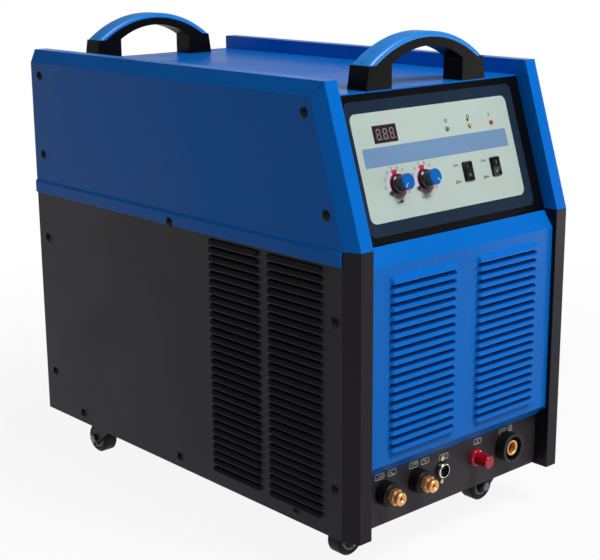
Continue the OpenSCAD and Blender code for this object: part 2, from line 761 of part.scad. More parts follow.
// Binding post for the pilot arc: a red insulating collar, a stud and a knurled screw cap
module binding_post() {
    color(red) on_terminals(post_x) {
        cylinder(r = post_r + 1.8, h = 2);
        translate([0, 0, -terminal_t - 3]) cylinder(r = post_neck, h = terminal_t + 4);
        translate([0, 0, -terminal_t - 6]) hex(11, 3);
        translate([0, 0, -20]) cylinder(r = 3, h = post_out + 17);
    }
}
module binding_cap() {
    color(red) on_terminals(post_x) difference() {
        union() {
            translate([0, 0, 2.3]) cylinder(r = post_r - 0.8, h = 2);
            translate([0, 0, 4]) cylinder(r = post_r, h = post_out - 5);
            translate([0, 0, post_out - 1]) cylinder(r1 = post_r, r2 = post_r - 1, h = 1);
        }
        translate([0, 0, 1]) cylinder(r = 3 + run_gap, h = post_out - 2);
        for (i = [0:15]) rotate([0, 0, i * 22.5]) translate([post_r + 0.3, 0, 5]) cylinder(r = 0.7, h = post_out);
    }
}

// Output socket: a brass contact standing in a deep insulating sleeve
contact_r = output_bore_r + 2.4;
module output_sleeve() {
    wall = 3.5;
    color(soft_black) on_terminals(output_x) difference() {
        union() {
            cylinder(r = output_r, h = output_out - 1);
            translate([0, 0, output_out - 1]) cylinder(r1 = output_r, r2 = output_r - 1, h = 1);
            translate([0, 0, -14]) cylinder(r = sleeve_neck, h = 15);
        }
        translate([0, 0, -11]) cylinder(r = output_r - wall, h = output_out + 20);
        translate([0, 0, -15]) cylinder(r = contact_r + clear, h = 10);
    }
}
module output_contact() {
    front = output_out - 2;
    color(brass) on_terminals(output_x) difference() {
        union() {
            translate([0, 0, -22]) cylinder(r = contact_r, h = front + 22);
            translate([0, 0, -17]) cylinder(r = contact_r + 3, h = 3);
            translate([0, 0, -30]) cylinder(r = 5, h = 9);
        }
        translate([0, 0, front - output_bore_l]) cylinder(r = output_bore_r, h = output_bore_l + 1);
        translate([0, 0, front - 1]) cylinder(r1 = output_bore_r, r2 = output_bore_r + 1.1, h = 1.1);
    }
}

// Top plate
module top_plate() {
    color(blue) cabinet() difference() {
        union() {
            translate([-panel_x, plate_front_y, plate_z - sheet])
                cube([2 * panel_x, body_d - plate_front_y, sheet]);
            both_sides() translate([panel_x - sheet, plate_front_y + 28, plate_z - 16])
                cube([sheet, body_d - plate_front_y - 60, 16]);
        }
        at_handle_bolts() cylinder(r = bolt_r + clear, h = 40, center = true);
    }
}

// Handles: a moulded arch on two feet with a coloured grip along the top of the arch
bolt_r = 3;
bolt_x = (handle_w + handle_open_w) / 4;
foot_h = 25;
handle_top_w = handle_w - 8;
front_handle_y = plate_front_y + handle_t / 2 + 0.3;
rear_handle_y = body_d - handle_t / 2 - 6;
function arc_r(half, rise) = (half * half + rise * rise) / (2 * rise);
arch_r = arc_r(handle_top_w / 2, handle_h - foot_h);
open_rise = 16;
open_r = arc_r(handle_open_w / 2, open_rise);
module at_handle(y) { cabinet() translate([0, y, plate_z]) children(); }
module at_handle_bolts() {
    for (y = [front_handle_y, rear_handle_y], s = [-1, 1], t = [-1, 1])
        translate([s * bolt_x, y + t * 7, plate_z]) children();
}
module handle_body() {
    seat_r = arch_r - grip_t - 0.05;
    half = handle_w / 2;
    difference() {
        union() {
            along_y(-handle_t / 2, handle_t / 2) polygon([
                [-half, 0], [-handle_top_w / 2, foot_h], [handle_top_w / 2, foot_h], [half, 0]
            ]);
            intersection() {
                translate([0, 0, handle_h - arch_r]) rotate([90, 0, 0])
                    cylinder(r = seat_r, h = handle_t, center = true);
                translate([-half, -handle_t, foot_h - 5]) cube([2 * half, 2 * handle_t, handle_h]);
            }
        }
        translate([-handle_open_w / 2, -handle_t, -eps])
            cube([handle_open_w, 2 * handle_t, handle_open_h - open_rise + 2 * eps]);
        intersection() {
            translate([0, 0, handle_open_h - open_r]) rotate([90, 0, 0])
                cylinder(r = open_r, h = 2 * handle_t, center = true);
            translate([-handle_open_w / 2, -handle_t, handle_open_h - open_rise])
                cube([handle_open_w, 2 * handle_t, open_rise + 1]);
        }
        for (s = [-1, 1], t = [-1, 1])
            translate([s * bolt_x, t * 7, -eps]) cylinder(r = bolt_r + 0.05, h = 14);
    }
}
module handle_grip() {
    edge = 4;
    half = handle_t / 2;
    translate([0, 0, handle_h - arch_r]) rotate([90, 0, 0]) intersection() {
        rotate_extrude($fn = 128) translate([arch_r - grip_t, 0]) intersection() {
            translate([0, -half]) square([grip_t, 2 * half]);
            union() {
                translate([0, -half]) square([grip_t - edge, 2 * half]);
                translate([0, edge - half]) square([grip_t, 2 * (half - edge)]);
                for (s = [-1, 1]) translate([grip_t - edge, s * (half - edge)]) circle(edge);
            }
        }
        translate([-arch_r, arch_r - handle_h + foot_h, -handle_t]) cube([2 * arch_r, arch_r, 2 * handle_t]);
    }
}
module front_handle() { color(soft_black) at_handle(front_handle_y) handle_body(); }
module rear_handle() { color(soft_black) at_handle(rear_handle_y) handle_body(); }
module front_grip() { color(blue) at_handle(front_handle_y) handle_grip(); }
module rear_grip() { color(blue) at_handle(rear_handle_y) handle_grip(); }
module handle_bolts() {
    color(zinc) cabinet() at_handle_bolts() {
        translate([0, 0, -sheet - 4]) hex(10, 4);
        translate([0, 0, -sheet - 1]) cylinder(r = bolt_r, h = 12);
    }
}

// Base tray with turned-up edges
module base_tray() {
    w = 2 * inner_x;
    color(black) cabinet() difference() {
        union() {
            translate([-inner_x, flange_y, 0]) cube([w, rear_in_y - panel_gap - flange_y, sheet]);
            translate([-rim_x + 8, flange_y, 0]) cube([2 * rim_x - 16, sheet, 14]);
            both_sides() translate([inner_x - sheet, flange_end + 2, 0])
                cube([sheet, body_d - rear_flange - 6 - flange_end - 2, 24]);
        }
        screw_holes();
        for (s = [-1, 1], y = [caster_front, body_d - caster_rear]) translate([s * caster_x, y, 0])
            plate_bolts() translate([0, 0, -1]) cylinder(r = 3 + clear, h = 4);
    }
}

// Rear panel: ears close the ends of the folded rim
module rear_panel() {
    edge = sheet + panel_gap;
    ear_x = rim_x + edge;
    ear_low = body_h - rim_return - panel_gap;
    rim = shifted([[-side_x, 0], [-side_x, body_h - top_fold], [-side_x + rim_inset, body_h]], -edge);
    half = [
        [-inner_x, 0], rim[1], rim[2] - [0, edge], [-ear_x, body_h - edge],
        [-ear_x, ear_low], [-panel_x, ear_low], [-panel_x, panel_top]
    ];
    color(black) difference() {
        cabinet() {
            along_y(rear_in_y, body_d) polygon(concat(half, mirrored(half)));
            both_sides() translate([inner_x - sheet, body_d - rear_flange, edge])
                cube([sheet, rear_flange - sheet / 2, body_h - top_fold - edge - 6]);
        }
        cabinet() screw_holes();
        for (s = [-1, 1]) on_rear(s * fan_x, fan_z) {
            rear_hole(fan_w / 2 - 4);
            for (a = [45:90:315]) rotate([0, 0, a]) translate([fan_screw, 0, 0]) rear_hole(2.2);
        }
        on_rear(breaker_at[0], breaker_at[1]) translate([-breaker_w / 2 - clear, -breaker_h / 2 - clear, -1])
            cube([breaker_w + 2 * clear, breaker_h + 2 * clear, sheet + 2]);
        on_rear(gland_at[0], gland_at[1]) rear_hole(gland_bore_r + 2.2);
        on_rear(earth_at[0], earth_at[1]) rear_hole(earth_r + clear);
    }
}
module rear_hole(r) { translate([0, 0, -1]) cylinder(r = r, h = sheet + 2); }
fan_screw = (fan_w - 15) * sqrt(2) / 2;
breaker_w = 36;
breaker_h = 45;

// Cooling fans
hub_r = fan_w * 0.18;
module fan_frames() {
    color(soft_black) for (s = [-1, 1]) on_rear(s * fan_x, fan_z) {
        difference() {
            translate([0, 0, -fan_t]) linear_extrude(fan_t) rounded(fan_w, fan_w, 5);
            translate([0, 0, -fan_t - 1]) cylinder(r = fan_w / 2 - 2.5, h = fan_t + 2);
            for (a = [45:90:315]) rotate([0, 0, a]) translate([fan_screw, 0, -fan_t - 1])
                cylinder(r = 2.2, h = fan_t + 2);
        }
        translate([0, 0, -fan_t]) {
            cylinder(r = hub_r, h = 3);
            cylinder(r = 2, h = fan_t - 9);
            for (a = [20:90:290]) rotate([0, 0, a]) translate([hub_r - 2, -2.5, 0])
                cube([fan_w / 2 - hub_r + 0.5, 5, 3]);
        }
    }
}
module fan_rotor(s) {
    tip_r = fan_w / 2 - 4.5;
    color([0.1, 0.1, 0.11]) on_rear(s * fan_x, fan_z) translate([0, 0, 4.5 - fan_t]) {
        difference() {
            cylinder(r = hub_r, h = fan_t - 11);
            translate([0, 0, -1]) cylinder(r = 2 + run_gap, h = fan_t - 12);
        }
        intersection() {
            for (i = [0:fan_blades - 1]) rotate([0, 0, i * 360 / fan_blades])
                translate([hub_r - 1, 0, (fan_t - 11) / 2]) rotate([50, 0, 0])
                    translate([0, -16, -1]) cube([tip_r - hub_r + 3, 32, 2]);
            difference() {
                translate([0, 0, 1]) cylinder(r = tip_r, h = fan_t - 13);
                translate([0, 0, -1]) cylinder(r = hub_r - 0.5, h = fan_t);
            }
        }
    }
}
module fan_rotor_left() { fan_rotor(-1); }
module fan_rotor_right() { fan_rotor(1); }
module fan_guards() {
    wire = 1.2;
    color(zinc) for (s = [-1, 1]) on_rear(s * fan_x, fan_z) translate([0, 0, sheet]) {
        for (r = [14:10:54]) translate([0, 0, 2.6 * wire]) rotate_extrude() translate([r, 0]) circle(wire);
        for (a = [45, 135]) rotate([0, 0, a]) translate([4 - fan_screw, 0, wire]) rotate([0, 90, 0])
            cylinder(r = wire, h = 2 * fan_screw - 8);
        for (a = [45:90:315]) rotate([0, 0, a]) translate([fan_screw, 0, 0]) {
            cylinder(r = 4.6, h = 1.4);
            translate([0, 0, 1]) cylinder(r = 3.4, h = 2.4);
            translate([0, 0, -8]) cylinder(r = 2, h = 9);
        }
    }
}

// Main breaker, mains inlet gland and earth stud
module breaker() {
    color([0.75, 0.76, 0.76]) on_rear(breaker_at[0], breaker_at[1]) difference() {
        union() {
            translate([-breaker_w / 2, -breaker_h / 2, -50]) cube([breaker_w, breaker_h, 56]);
            translate([-breaker_w / 2, -40, -62]) cube([breaker_w, 80, 48]);
            translate([-breaker_w / 2, -11, 5]) cube([breaker_w, 22, 6]);
        }
        translate([-toggle_w / 2 - 0.3, -9, -3]) cube([toggle_w + 0.6, 18, 20]);
    }
}
toggle_w = 24;
module breaker_toggle() {
    color(soft_black) on_rear(breaker_at[0], breaker_at[1]) translate([0, 0, 5]) rotate([-30, 0, 0])
        along_x(-toggle_w / 2, toggle_w / 2) {
            circle(7);
            translate([-2, 0]) square([4, 17]);
        }
}
module cable_gland() {
    color(soft_black) on_rear(gland_at[0], gland_at[1]) difference() {
        union() {
            translate([0, 0, sheet]) hex(26, 6);
            translate([0, 0, sheet + 6]) cylinder(r = gland_bore_r + 4.4, h = rear_out - 9);
            translate([0, 0, rear_out + sheet - 3]) cylinder(r1 = gland_bore_r + 4.4, r2 = gland_bore_r + 2, h = 3);
            translate([0, 0, -12]) cylinder(r = gland_bore_r + 2, h = 15);
            translate([0, 0, -5]) hex(26, 5);
        }
        translate([0, 0, -13]) cylinder(r = gland_bore_r, h = rear_out + 20);
    }
}
module earth_stud() {
    color(brass) on_rear(earth_at[0], earth_at[1]) {
        translate([0, 0, -14]) cylinder(r = earth_r, h = 35);
        translate([0, 0, sheet]) cylinder(r = 9, h = 1.6);
        translate([0, 0, sheet + 1.6]) hex(13, 6);
        translate([0, 0, -6]) hex(13, 6);
    }
}

// Casters. Local frame: z up with its zero on the underside of the tray, swivel axis at the
// middle, axle at a distance of the trail along x
plate_w = 54;
plate_d = 44;
head_h = 6;
axle_z = wheel_d / 2 - caster_h;
fork_gap = wheel_w / 2 + 1.5;
fork_t = 2;
eye_r = 8;
function turned(v, a) = [v[0] * cos(a) - v[1] * sin(a), v[0] * sin(a) + v[1] * cos(a)];
function tangent_at(p, c, r, s) = c + r * turned(unit(p - c), s * acos(r / norm(p - c)));
module plate_bolts() { for (x = [-21, 21], y = [-16, 16]) translate([x, y, 0]) children(); }
module caster_at(sx, sy, turn) {
    y = sy < 0 ? caster_front : body_d - caster_rear;
    cabinet() translate([sx * caster_x, y, 0]) rotate([0, 0, turn]) children();
}
module caster_plates() {
    color(zinc) for (sx = [-1, 1], sy = [-1, 1]) caster_at(sx, sy, 0) {
        translate([0, 0, -2.5]) linear_extrude(2.5) rounded(plate_w, plate_d, 4);
        plate_bolts() {
            translate([0, 0, -2.5]) cylinder(r = 3, h = 2.5 + sheet + 4);
            translate([0, 0, -5]) hex(9, 2.6);
            translate([0, 0, sheet]) hex(9, 4);
        }
        translate([0, 0, -head_h]) cylinder(r = 15, h = 4);
        translate([0, 0, -head_h - 5]) cylinder(r = 5, h = 6);
        translate([0, 0, -head_h - 7.5]) cylinder(r = 8, h = 2.6);
    }
}
module both_cheeks() { children(); mirror([0, 1, 0]) children(); }
module caster_fork(sx, sy, turn) {
    crown = -head_h - 0.5;
    axle = [trail, axle_z];
    half = fork_gap + fork_t;
    top = [[-20, crown - 0.5], [14, crown - 0.5]];
    color(black) caster_at(sx, sy, turn) {
        difference() {
            union() {
                translate([0, 0, crown - 4]) cylinder(r = 15, h = 4);
                translate([top[0][0], -half, crown - 3]) cube([top[1][0] - top[0][0], 2 * half, 2.5]);
                both_cheeks() along_y(fork_gap, fork_gap + fork_t)
                    difference() {
                        union() {
                            polygon([
                                top[0], top[1], tangent_at(top[1], axle, eye_r, -1), axle,
                                tangent_at(top[0], axle, eye_r, 1)
                            ]);
                            translate(axle) circle(eye_r);
                        }
                        translate(axle) circle(axle_d / 2 + clear);
                    }
            }
            translate([0, 0, crown - 5]) cylinder(r = 5 + run_gap, h = 10);
        }
        translate([trail, 0, axle_z]) rotate([90, 0, 0]) {
            translate([0, 0, -half - 4]) cylinder(d = axle_d, h = 2 * half + 5);
            translate([0, 0, half]) hex(10, 3.5);
            translate([0, 0, -half - 3.5]) hex(10, 3.5);
        }
    }
}
module caster_wheel(sx, sy, turn) {
    tyre = wheel_d / 2;
    color(soft_black) caster_at(sx, sy, turn) translate([trail, 0, axle_z]) rotate([90, 0, 0]) difference() {
        union() {
            cylinder(r = tyre, h = wheel_w - 5, center = true);
            for (s = [0, 1]) mirror([0, 0, s]) translate([0, 0, wheel_w / 2 - 2.6])
                cylinder(r1 = tyre, r2 = tyre - 2.5, h = 2.6);
            cylinder(r = 6, h = wheel_w + 2, center = true);
        }
        for (s = [0, 1]) mirror([0, 0, s]) translate([0, 0, wheel_w / 2 - 3])
            ring(tyre - 6, 6, 5);
        cylinder(d = axle_d + 2 * run_gap, h = wheel_w + 10, center = true);
    }
}
module caster_fork_fl() { caster_fork(-1, -1, 0); }
module caster_fork_fr() { caster_fork(1, -1, 180); }
module caster_fork_rl() { caster_fork(-1, 1, 90); }
module caster_fork_rr() { caster_fork(1, 1, 90); }
module caster_wheel_fl() { caster_wheel(-1, -1, 0); }
module caster_wheel_fr() { caster_wheel(1, -1, 180); }
module caster_wheel_rl() { caster_wheel(-1, 1, 90); }
module caster_wheel_rr() { caster_wheel(1, 1, 90); }

// Case screws
module case_screws() {
    color(soft_black) cabinet() both_sides() {
        for (p = concat(lower_screws, upper_screws))
            translate([side_x, p[0], p[1]]) rotate([0, 90, 0]) button_screw();
        for (p = lap_screws) translate([side_x + lap_out, p[0], p[1]]) rotate([0, 90, 0]) button_screw();
    }
}

// Shelf and what it carries
module inner_deck() {
    half = 146;
    color(zinc) cabinet() translate([0, deck_front, 0]) {
        translate([-half, 0, deck_h - sheet]) cube([2 * half, deck_l, sheet]);
        both_sides() for (y = [0, deck_l - 40]) {
            translate([half - sheet, y, sheet]) cube([sheet, 40, deck_h - sheet]);
            translate([half - 22, y, sheet]) cube([22, 40, sheet]);
        }
    }
}
module heatsink() {
    n = 13;
    w = 150;
    color([0.75, 0.76, 0.77]) cabinet() translate([-w / 2, deck_front + deck_l - 190, deck_h]) {
        cube([w, 180, 8]);
        for (i = [0:n - 1]) translate([i * (w - 3) / (n - 1), 0, 7]) cube([3, 180, 48]);
    }
}
module inverter_board() {
    color([0.1, 0.3, 0.16]) cabinet() translate([-110, deck_front + 15, deck_h]) {
        for (x = [8, 212], y = [8, 142]) translate([x, y, 0]) cylinder(r = 3, h = 16);
        translate([0, 0, 15]) cube([220, 150, 2]);
        for (i = [0:3]) translate([32 + i * 52, 100, 16.5]) cylinder(r = 17, h = 50);
        for (i = [0:5]) translate([24 + i * 32, 22, 16.5]) cube([16, 6, 24]);
    }
}
module main_transformer() {
    color([0.3, 0.22, 0.14]) cabinet() translate([-75, deck_front + 200, sheet]) {
        difference() {
            translate([-55, -30, 0]) cube([110, 60, 100]);
            for (s = [-1, 1]) translate([s * 26 - 11, -31, 18]) cube([22, 62, 64]);
        }
        translate([-33, -44, 22]) cube([66, 88, 56]);
    }
}
module air_compressor() {
    color([0.55, 0.56, 0.58]) cabinet() translate([62, deck_front + 90, sheet]) {
        for (x = [-45, 35], y = [10, 130]) translate([x, y, 0]) cube([10, 30, 16]);
        translate([-50, 5, 15]) cube([100, 160, 4]);
        translate([0, 20, 62]) rotate([-90, 0, 0]) cylinder(r = 44, h = 90);
        translate([0, 8, 62]) rotate([-90, 0, 0]) cylinder(r = 40, h = 13);
        translate([-30, 109, 18]) cube([60, 46, 88]);
        for (i = [0:5]) translate([-36, 103, 108 + i * 6]) cube([72, 58, 3]);
        translate([-26, 113, 100]) cube([52, 38, 46]);
        translate([0, 132, 60]) rotate([0, 0, 0]) cylinder(r = 20, h = 60);
    }
}

base_tray();
side_panel_left();
side_panel_right();
cover_left();
cover_right();
top_plate();
front_grille();
terminal_panel();
control_panel();
panel_overlay();
display_module();
display_window();
lamp_green();
lamp_amber();
lamp_red();
knob_left();
knob_left_cap();
knob_right();
knob_right_cap();
potentiometers();
rocker_housings();
rocker_left();
rocker_right();
terminal_insulators();
torch_connectors();
control_socket();
control_socket_insert();
binding_post();
binding_cap();
output_sleeve();
output_contact();
front_handle();
front_grip();
rear_handle();
rear_grip();
handle_bolts();
rear_panel();
fan_frames();
fan_rotor_left();
fan_rotor_right();
fan_guards();
breaker();
breaker_toggle();
cable_gland();
earth_stud();
caster_plates();
caster_fork_fl();
caster_fork_fr();
caster_fork_rl();
caster_fork_rr();
caster_wheel_fl();
caster_wheel_fr();
caster_wheel_rl();
caster_wheel_rr();
case_screws();
inner_deck();
heatsink();
inverter_board();
main_transformer();
air_compressor();
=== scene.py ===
# %% [markdown]
# # Dressing a plasma cutter
# This notebook takes the imported CAD model of a plasma cutter and gives it its looks: procedural
# materials, printed marks, small moulded and turned parts, soft studio light and a camera.
# The cells run from top to bottom, and each explanation belongs to the code cell below it.

# %% [markdown]
# ## 1. Load the frame
# Every CAD node arrives as a Blender object whose place is in its vertices, and whose parent is
# an empty that stands for its moving body. The same sheet and castings could be modelled again
# from nothing, but they would have to fit the joints anew, so the nodes stay and are only
# dressed.

# %% Load the frame
import json
import math

import bmesh
import bpy
from mathutils import Matrix, Vector

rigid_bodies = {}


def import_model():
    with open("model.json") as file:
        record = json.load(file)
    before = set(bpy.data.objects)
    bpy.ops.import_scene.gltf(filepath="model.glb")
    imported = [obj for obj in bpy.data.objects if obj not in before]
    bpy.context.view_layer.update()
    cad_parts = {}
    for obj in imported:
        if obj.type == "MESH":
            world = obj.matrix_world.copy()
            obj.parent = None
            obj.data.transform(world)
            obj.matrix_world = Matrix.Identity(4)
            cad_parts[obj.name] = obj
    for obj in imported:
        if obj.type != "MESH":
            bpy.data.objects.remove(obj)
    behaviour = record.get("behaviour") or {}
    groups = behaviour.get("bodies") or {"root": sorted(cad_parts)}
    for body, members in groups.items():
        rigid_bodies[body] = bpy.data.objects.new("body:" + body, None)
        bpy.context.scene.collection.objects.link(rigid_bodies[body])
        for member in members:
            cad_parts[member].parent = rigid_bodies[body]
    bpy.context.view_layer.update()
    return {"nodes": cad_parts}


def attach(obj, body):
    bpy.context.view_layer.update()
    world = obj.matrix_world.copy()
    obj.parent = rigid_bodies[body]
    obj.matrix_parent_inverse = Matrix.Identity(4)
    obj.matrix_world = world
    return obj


for leftover in list(bpy.data.objects):
    bpy.data.objects.remove(leftover)
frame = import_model()
nodes = frame["nodes"]

# %% [markdown]
# ## 2. Places to draw on
# A printer measures in millimetres on the surface in front of them, while Blender works in
# metres. Every point could be converted by hand, but a *place* is simpler: a matrix that turns
# local millimetres into the object's frame, with x across, y up the surface and z out of it.
# The control panel leans back, and `REAR` is turned round, because it is drawn from outside.

# %% Places
MM = 0.001
FRONT, FLOOR = -300.25, 52.0  # the columns' front face, and the cabinet's lower edge
SPLIT, TALL, DEPTH = 310.0, 474.0, 585.0  # height of the seam, whole height, whole depth
SLOPE_RUN = 53.0  # how far the slope runs back between the seam and the top
PANEL_INSET, TERMINAL_INSET = 17.0, 18.5  # how far these two panels lie behind the columns
LEAN = math.atan2(SLOPE_RUN, TALL - SPLIT)
UPRIGHT = math.pi / 2


def place(x, y, z, tilt=0.0, turn=0.0):
    """A drawing plane at cabinet point (x, y, z) in mm, tilted about X and then turned about Z."""
    spot = Matrix.Translation(Vector((x, y + FRONT, z + FLOOR)) * MM)
    return spot @ Matrix.Rotation(turn, 4, "Z") @ Matrix.Rotation(tilt, 4, "X") @ Matrix.Scale(MM, 4)


def moved(where, x=0.0, y=0.0, z=0.0, spin=0.0):
    """The same plane shifted by (x, y, z) mm in its own axes, then spun about its own z."""
    return where @ Matrix.Translation((x, y, z)) @ Matrix.Rotation(math.radians(spin), 4, "Z")


def tipped(where, degrees):
    """The same plane tipped about its own x axis."""
    return where @ Matrix.Rotation(math.radians(degrees), 4, "X")


PANEL = place(0, PANEL_INSET / math.cos(LEAN), SPLIT, UPRIGHT - LEAN)
TERMINALS = place(0, TERMINAL_INSET, 0, UPRIGHT)
CABINET = place(0, 0, 0)
REAR = place(0, DEPTH, 0, UPRIGHT, math.pi)
print("the control panel leans back by", round(math.degrees(LEAN), 1), "degrees")

# %% [markdown]
# ## 3. Shader tools
# A real finish is several thin effects on top of each other. They could be clicked together in
# the shader editor, one material at a time. In code, `put` adds one node and wires it in the same
# line, and `new_group` starts a *node group*: a small tree with its own inputs and outputs.
# A change in a group shows in every material that uses it.

# %% Nodes and groups
def put(tree, kind, **given):
    """Adds a shader node. in0, in1, ... are inputs by number, a name with a capital is an input by
    name, and any other name is a setting. An input takes a value or another node's output."""
    node = tree.nodes.new("ShaderNode" + kind)
    inputs = {}
    for key, value in given.items():
        if key[:2] == "in":
            inputs[int(key[2:])] = value
        elif key[0].isupper():
            inputs[key.replace("_", " ")] = value
        else:
            setattr(node, key, value)
    for key, value in inputs.items():
        if isinstance(value, bpy.types.NodeSocket):
            tree.links.new(value, node.inputs[key])
        else:
            node.inputs[key].default_value = value
    return node


def use(tree, group, **given):
    """Places a node group in a tree and sets or links its inputs."""
    return put(tree, "Group", node_tree=group, **given)


def math_node(tree, operation, first, second=0.0):
    """The output of one Math node."""
    return put(tree, "Math", operation=operation, in0=first, in1=second).outputs[0]


def new_group(name, inputs, outputs):
    """An empty node group with named sockets."""
    tree = bpy.data.node_groups.new(name, "ShaderNodeTree")
    for label, kind, value in inputs:
        socket = tree.interface.new_socket(name=label, in_out="INPUT", socket_type="NodeSocket" + kind)
        socket.default_value = value
    for label, kind in outputs:
        tree.interface.new_socket(name=label, in_out="OUTPUT", socket_type="NodeSocket" + kind)
    return tree, tree.nodes.new("NodeGroupInput").outputs, tree.nodes.new("NodeGroupOutput").inputs


def cleared(owner):
    """The empty node tree of a material or a world."""
    owner.use_nodes = True
    owner.node_tree.nodes.clear()
    return owner.node_tree


UP = (0, 0, 1)
print("shader tools ready")

# %% [markdown]
# ## 4. Soft edges and fine grain
# No folded or moulded edge is perfectly sharp. Every edge could be bevelled in the mesh, but the
# CAD nodes keep theirs, so **Soft edges** rounds the shading instead. Where the rounded normal
# turns away from the true one, there is an edge, and that gives a mask for wear.
# ** Fine grain** is the pebbled skin of powder coat or moulded plastic, as a bump. It reads
# *Object* coordinates: each object sits at the origin, so the grain has one scale everywhere.

# %% Soft edges and fine grain
def soft_edges():
    tree, given, result = new_group(
        "Soft edges", [("Radius", "Float", 0.0006)], [("Normal", "Vector"), ("Edge", "Float")])
    bevel = put(tree, "Bevel", samples=4, Radius=given["Radius"])
    surface = put(tree, "NewGeometry")
    turned = put(tree, "VectorMath", operation="DOT_PRODUCT",
                 in0=bevel.outputs["Normal"], in1=surface.outputs["Normal"])
    edge = put(tree, "MapRange", Value=turned.outputs["Value"], From_Min=0.995, From_Max=0.8)
    tree.links.new(bevel.outputs["Normal"], result["Normal"])
    tree.links.new(edge.outputs["Result"], result["Edge"])
    return tree


def fine_grain():
    tree, given, result = new_group(
        "Fine grain",
        [("Size", "Float", 0.0008), ("Height", "Float", 0.00002), ("Normal", "Vector", UP)],
        [("Normal", "Vector")])
    where = put(tree, "TexCoord").outputs["Object"]
    scale = math_node(tree, "DIVIDE", 1.0, given["Size"])
    noise = put(tree, "TexNoise", Vector=where, Scale=scale, Detail=2.0, Roughness=0.45)
    bump = put(tree, "Bump", Strength=1.0, Distance=given["Height"],
               Height=noise.outputs["Fac"], Normal=given["Normal"])
    tree.links.new(bump.outputs["Normal"], result["Normal"])
    return tree


SOFT, GRAIN = soft_edges(), fine_grain()
print("node groups:", SOFT.name, "/", GRAIN.name)

# %% [markdown]
# ## 5. Coat colour
# Paint and plastic are never one flat colour: the tone drifts slowly over the surface, fine
# specks sit in it, and edges rub bare in patches. It could be painted on an image, but noise
# needs no unwrapping and never repeats. **Coat colour** mixes three noises of different sizes:
# a slow one for the drift, a fine one for specks, and a patchy one that breaks up the edge wear.

# %% Coat colour
def coat_colour():
    tree, given, result = new_group(
        "Coat colour",
        [("Colour", "Color", (0.5, 0.5, 0.5, 1)), ("Worn colour", "Color", (0.5, 0.5, 0.5, 1)),
         ("Edge", "Float", 0.0), ("Wear", "Float", 0.5), ("Drift", "Float", 0.05), ("Specks", "Float", 0.1)],
        [("Colour", "Color"), ("Value", "Float")])
    where = put(tree, "TexCoord").outputs["Object"]
    slow = put(tree, "TexNoise", Vector=where, Scale=7.0, Detail=4.0, Roughness=0.6)
    shade = put(tree, "MapRange", Value=slow.outputs["Fac"], From_Min=0.25, From_Max=0.75,
                To_Min=math_node(tree, "SUBTRACT", 1.0, given["Drift"]),
                To_Max=math_node(tree, "ADD", 1.0, given["Drift"]))
    drifted = put(tree, "VectorMath", operation="SCALE", in0=given["Colour"], in3=shade.outputs["Result"])
    fine = put(tree, "TexNoise", Vector=where, Scale=1100.0, Detail=1.0)
    dot = put(tree, "MapRange", Value=fine.outputs["Fac"], From_Min=0.62, From_Max=0.8)
    dots = math_node(tree, "MULTIPLY", dot.outputs["Result"], given["Specks"])
    specked = put(tree, "Mix", data_type="RGBA", in0=dots, in6=drifted.outputs[0], in7=given["Worn colour"])
    patchy = put(tree, "TexNoise", Vector=where, Scale=130.0, Detail=5.0, Roughness=0.7)
    gate = put(tree, "MapRange", Value=patchy.outputs["Fac"], From_Min=0.5, From_Max=0.66)
    rubbed = math_node(tree, "MULTIPLY", gate.outputs["Result"], given["Edge"])
    amount = math_node(tree, "MULTIPLY", rubbed, given["Wear"])
    worn = put(tree, "Mix", data_type="RGBA", in0=amount, in6=specked.outputs[2], in7=given["Worn colour"])
    tree.links.new(worn.outputs[2], result["Colour"])
    tree.links.new(slow.outputs["Fac"], result["Value"])
    return tree


COAT = coat_colour()
print("node group:", COAT.name)

# %% [markdown]
# ## 6. Turned rings
# A lathe leaves fine rings round a turned part. They could be cut in the mesh, at the price of
# thousands of faces. Here a noise is squeezed along the part's axis until only rings are left,
# and a shallow bump catches the light on them. The turned parts here all lie along y.

# %% Turned rings
def turned_rings():
    tree, given, result = new_group(
        "Turned rings",
        [("Stretch", "Vector", (6.0, 4200.0, 6.0)), ("Depth", "Float", 0.00001), ("Normal", "Vector", UP)],
        [("Normal", "Vector")])
    along = put(tree, "VectorMath", operation="MULTIPLY",
                in0=put(tree, "TexCoord").outputs["Object"], in1=given["Stretch"])
    rings = put(tree, "TexNoise", Vector=along.outputs[0], Scale=1.0, Detail=2.0)
    cut = put(tree, "Bump", Strength=0.7, Distance=given["Depth"],
              Height=rings.outputs["Fac"], Normal=given["Normal"])
    tree.links.new(cut.outputs["Normal"], result["Normal"])
    return tree


RINGS = turned_rings()
print("node group:", RINGS.name)

# %% [markdown]
# ## 7. Pressed hoods
# Each louvre is a hood pressed out of the sheet. The press draws the metal, so the hood's face
# leans back a little. The hoods themselves are in the CAD mesh, which stays as it is, so the
# lean is made in the material: **Pressed hoods** tips the normal of all that stands proud of the
# sheet. `Across` picks the axis that points out of it, and `Near` and `Far` bound the distance.

# %% Pressed hoods
def outwards(tree, given):
    """The distance from the middle along the axis Across, and a mask for what lies past Near."""
    where = put(tree, "TexCoord").outputs["Object"]
    out = put(tree, "VectorMath", operation="DOT_PRODUCT", in0=where, in1=given["Across"])
    away = math_node(tree, "ABSOLUTE", out.outputs["Value"])
    height = put(tree, "SeparateXYZ", Vector=where).outputs["Z"]
    return away, math_node(tree, "GREATER_THAN", away, given["Near"]), height


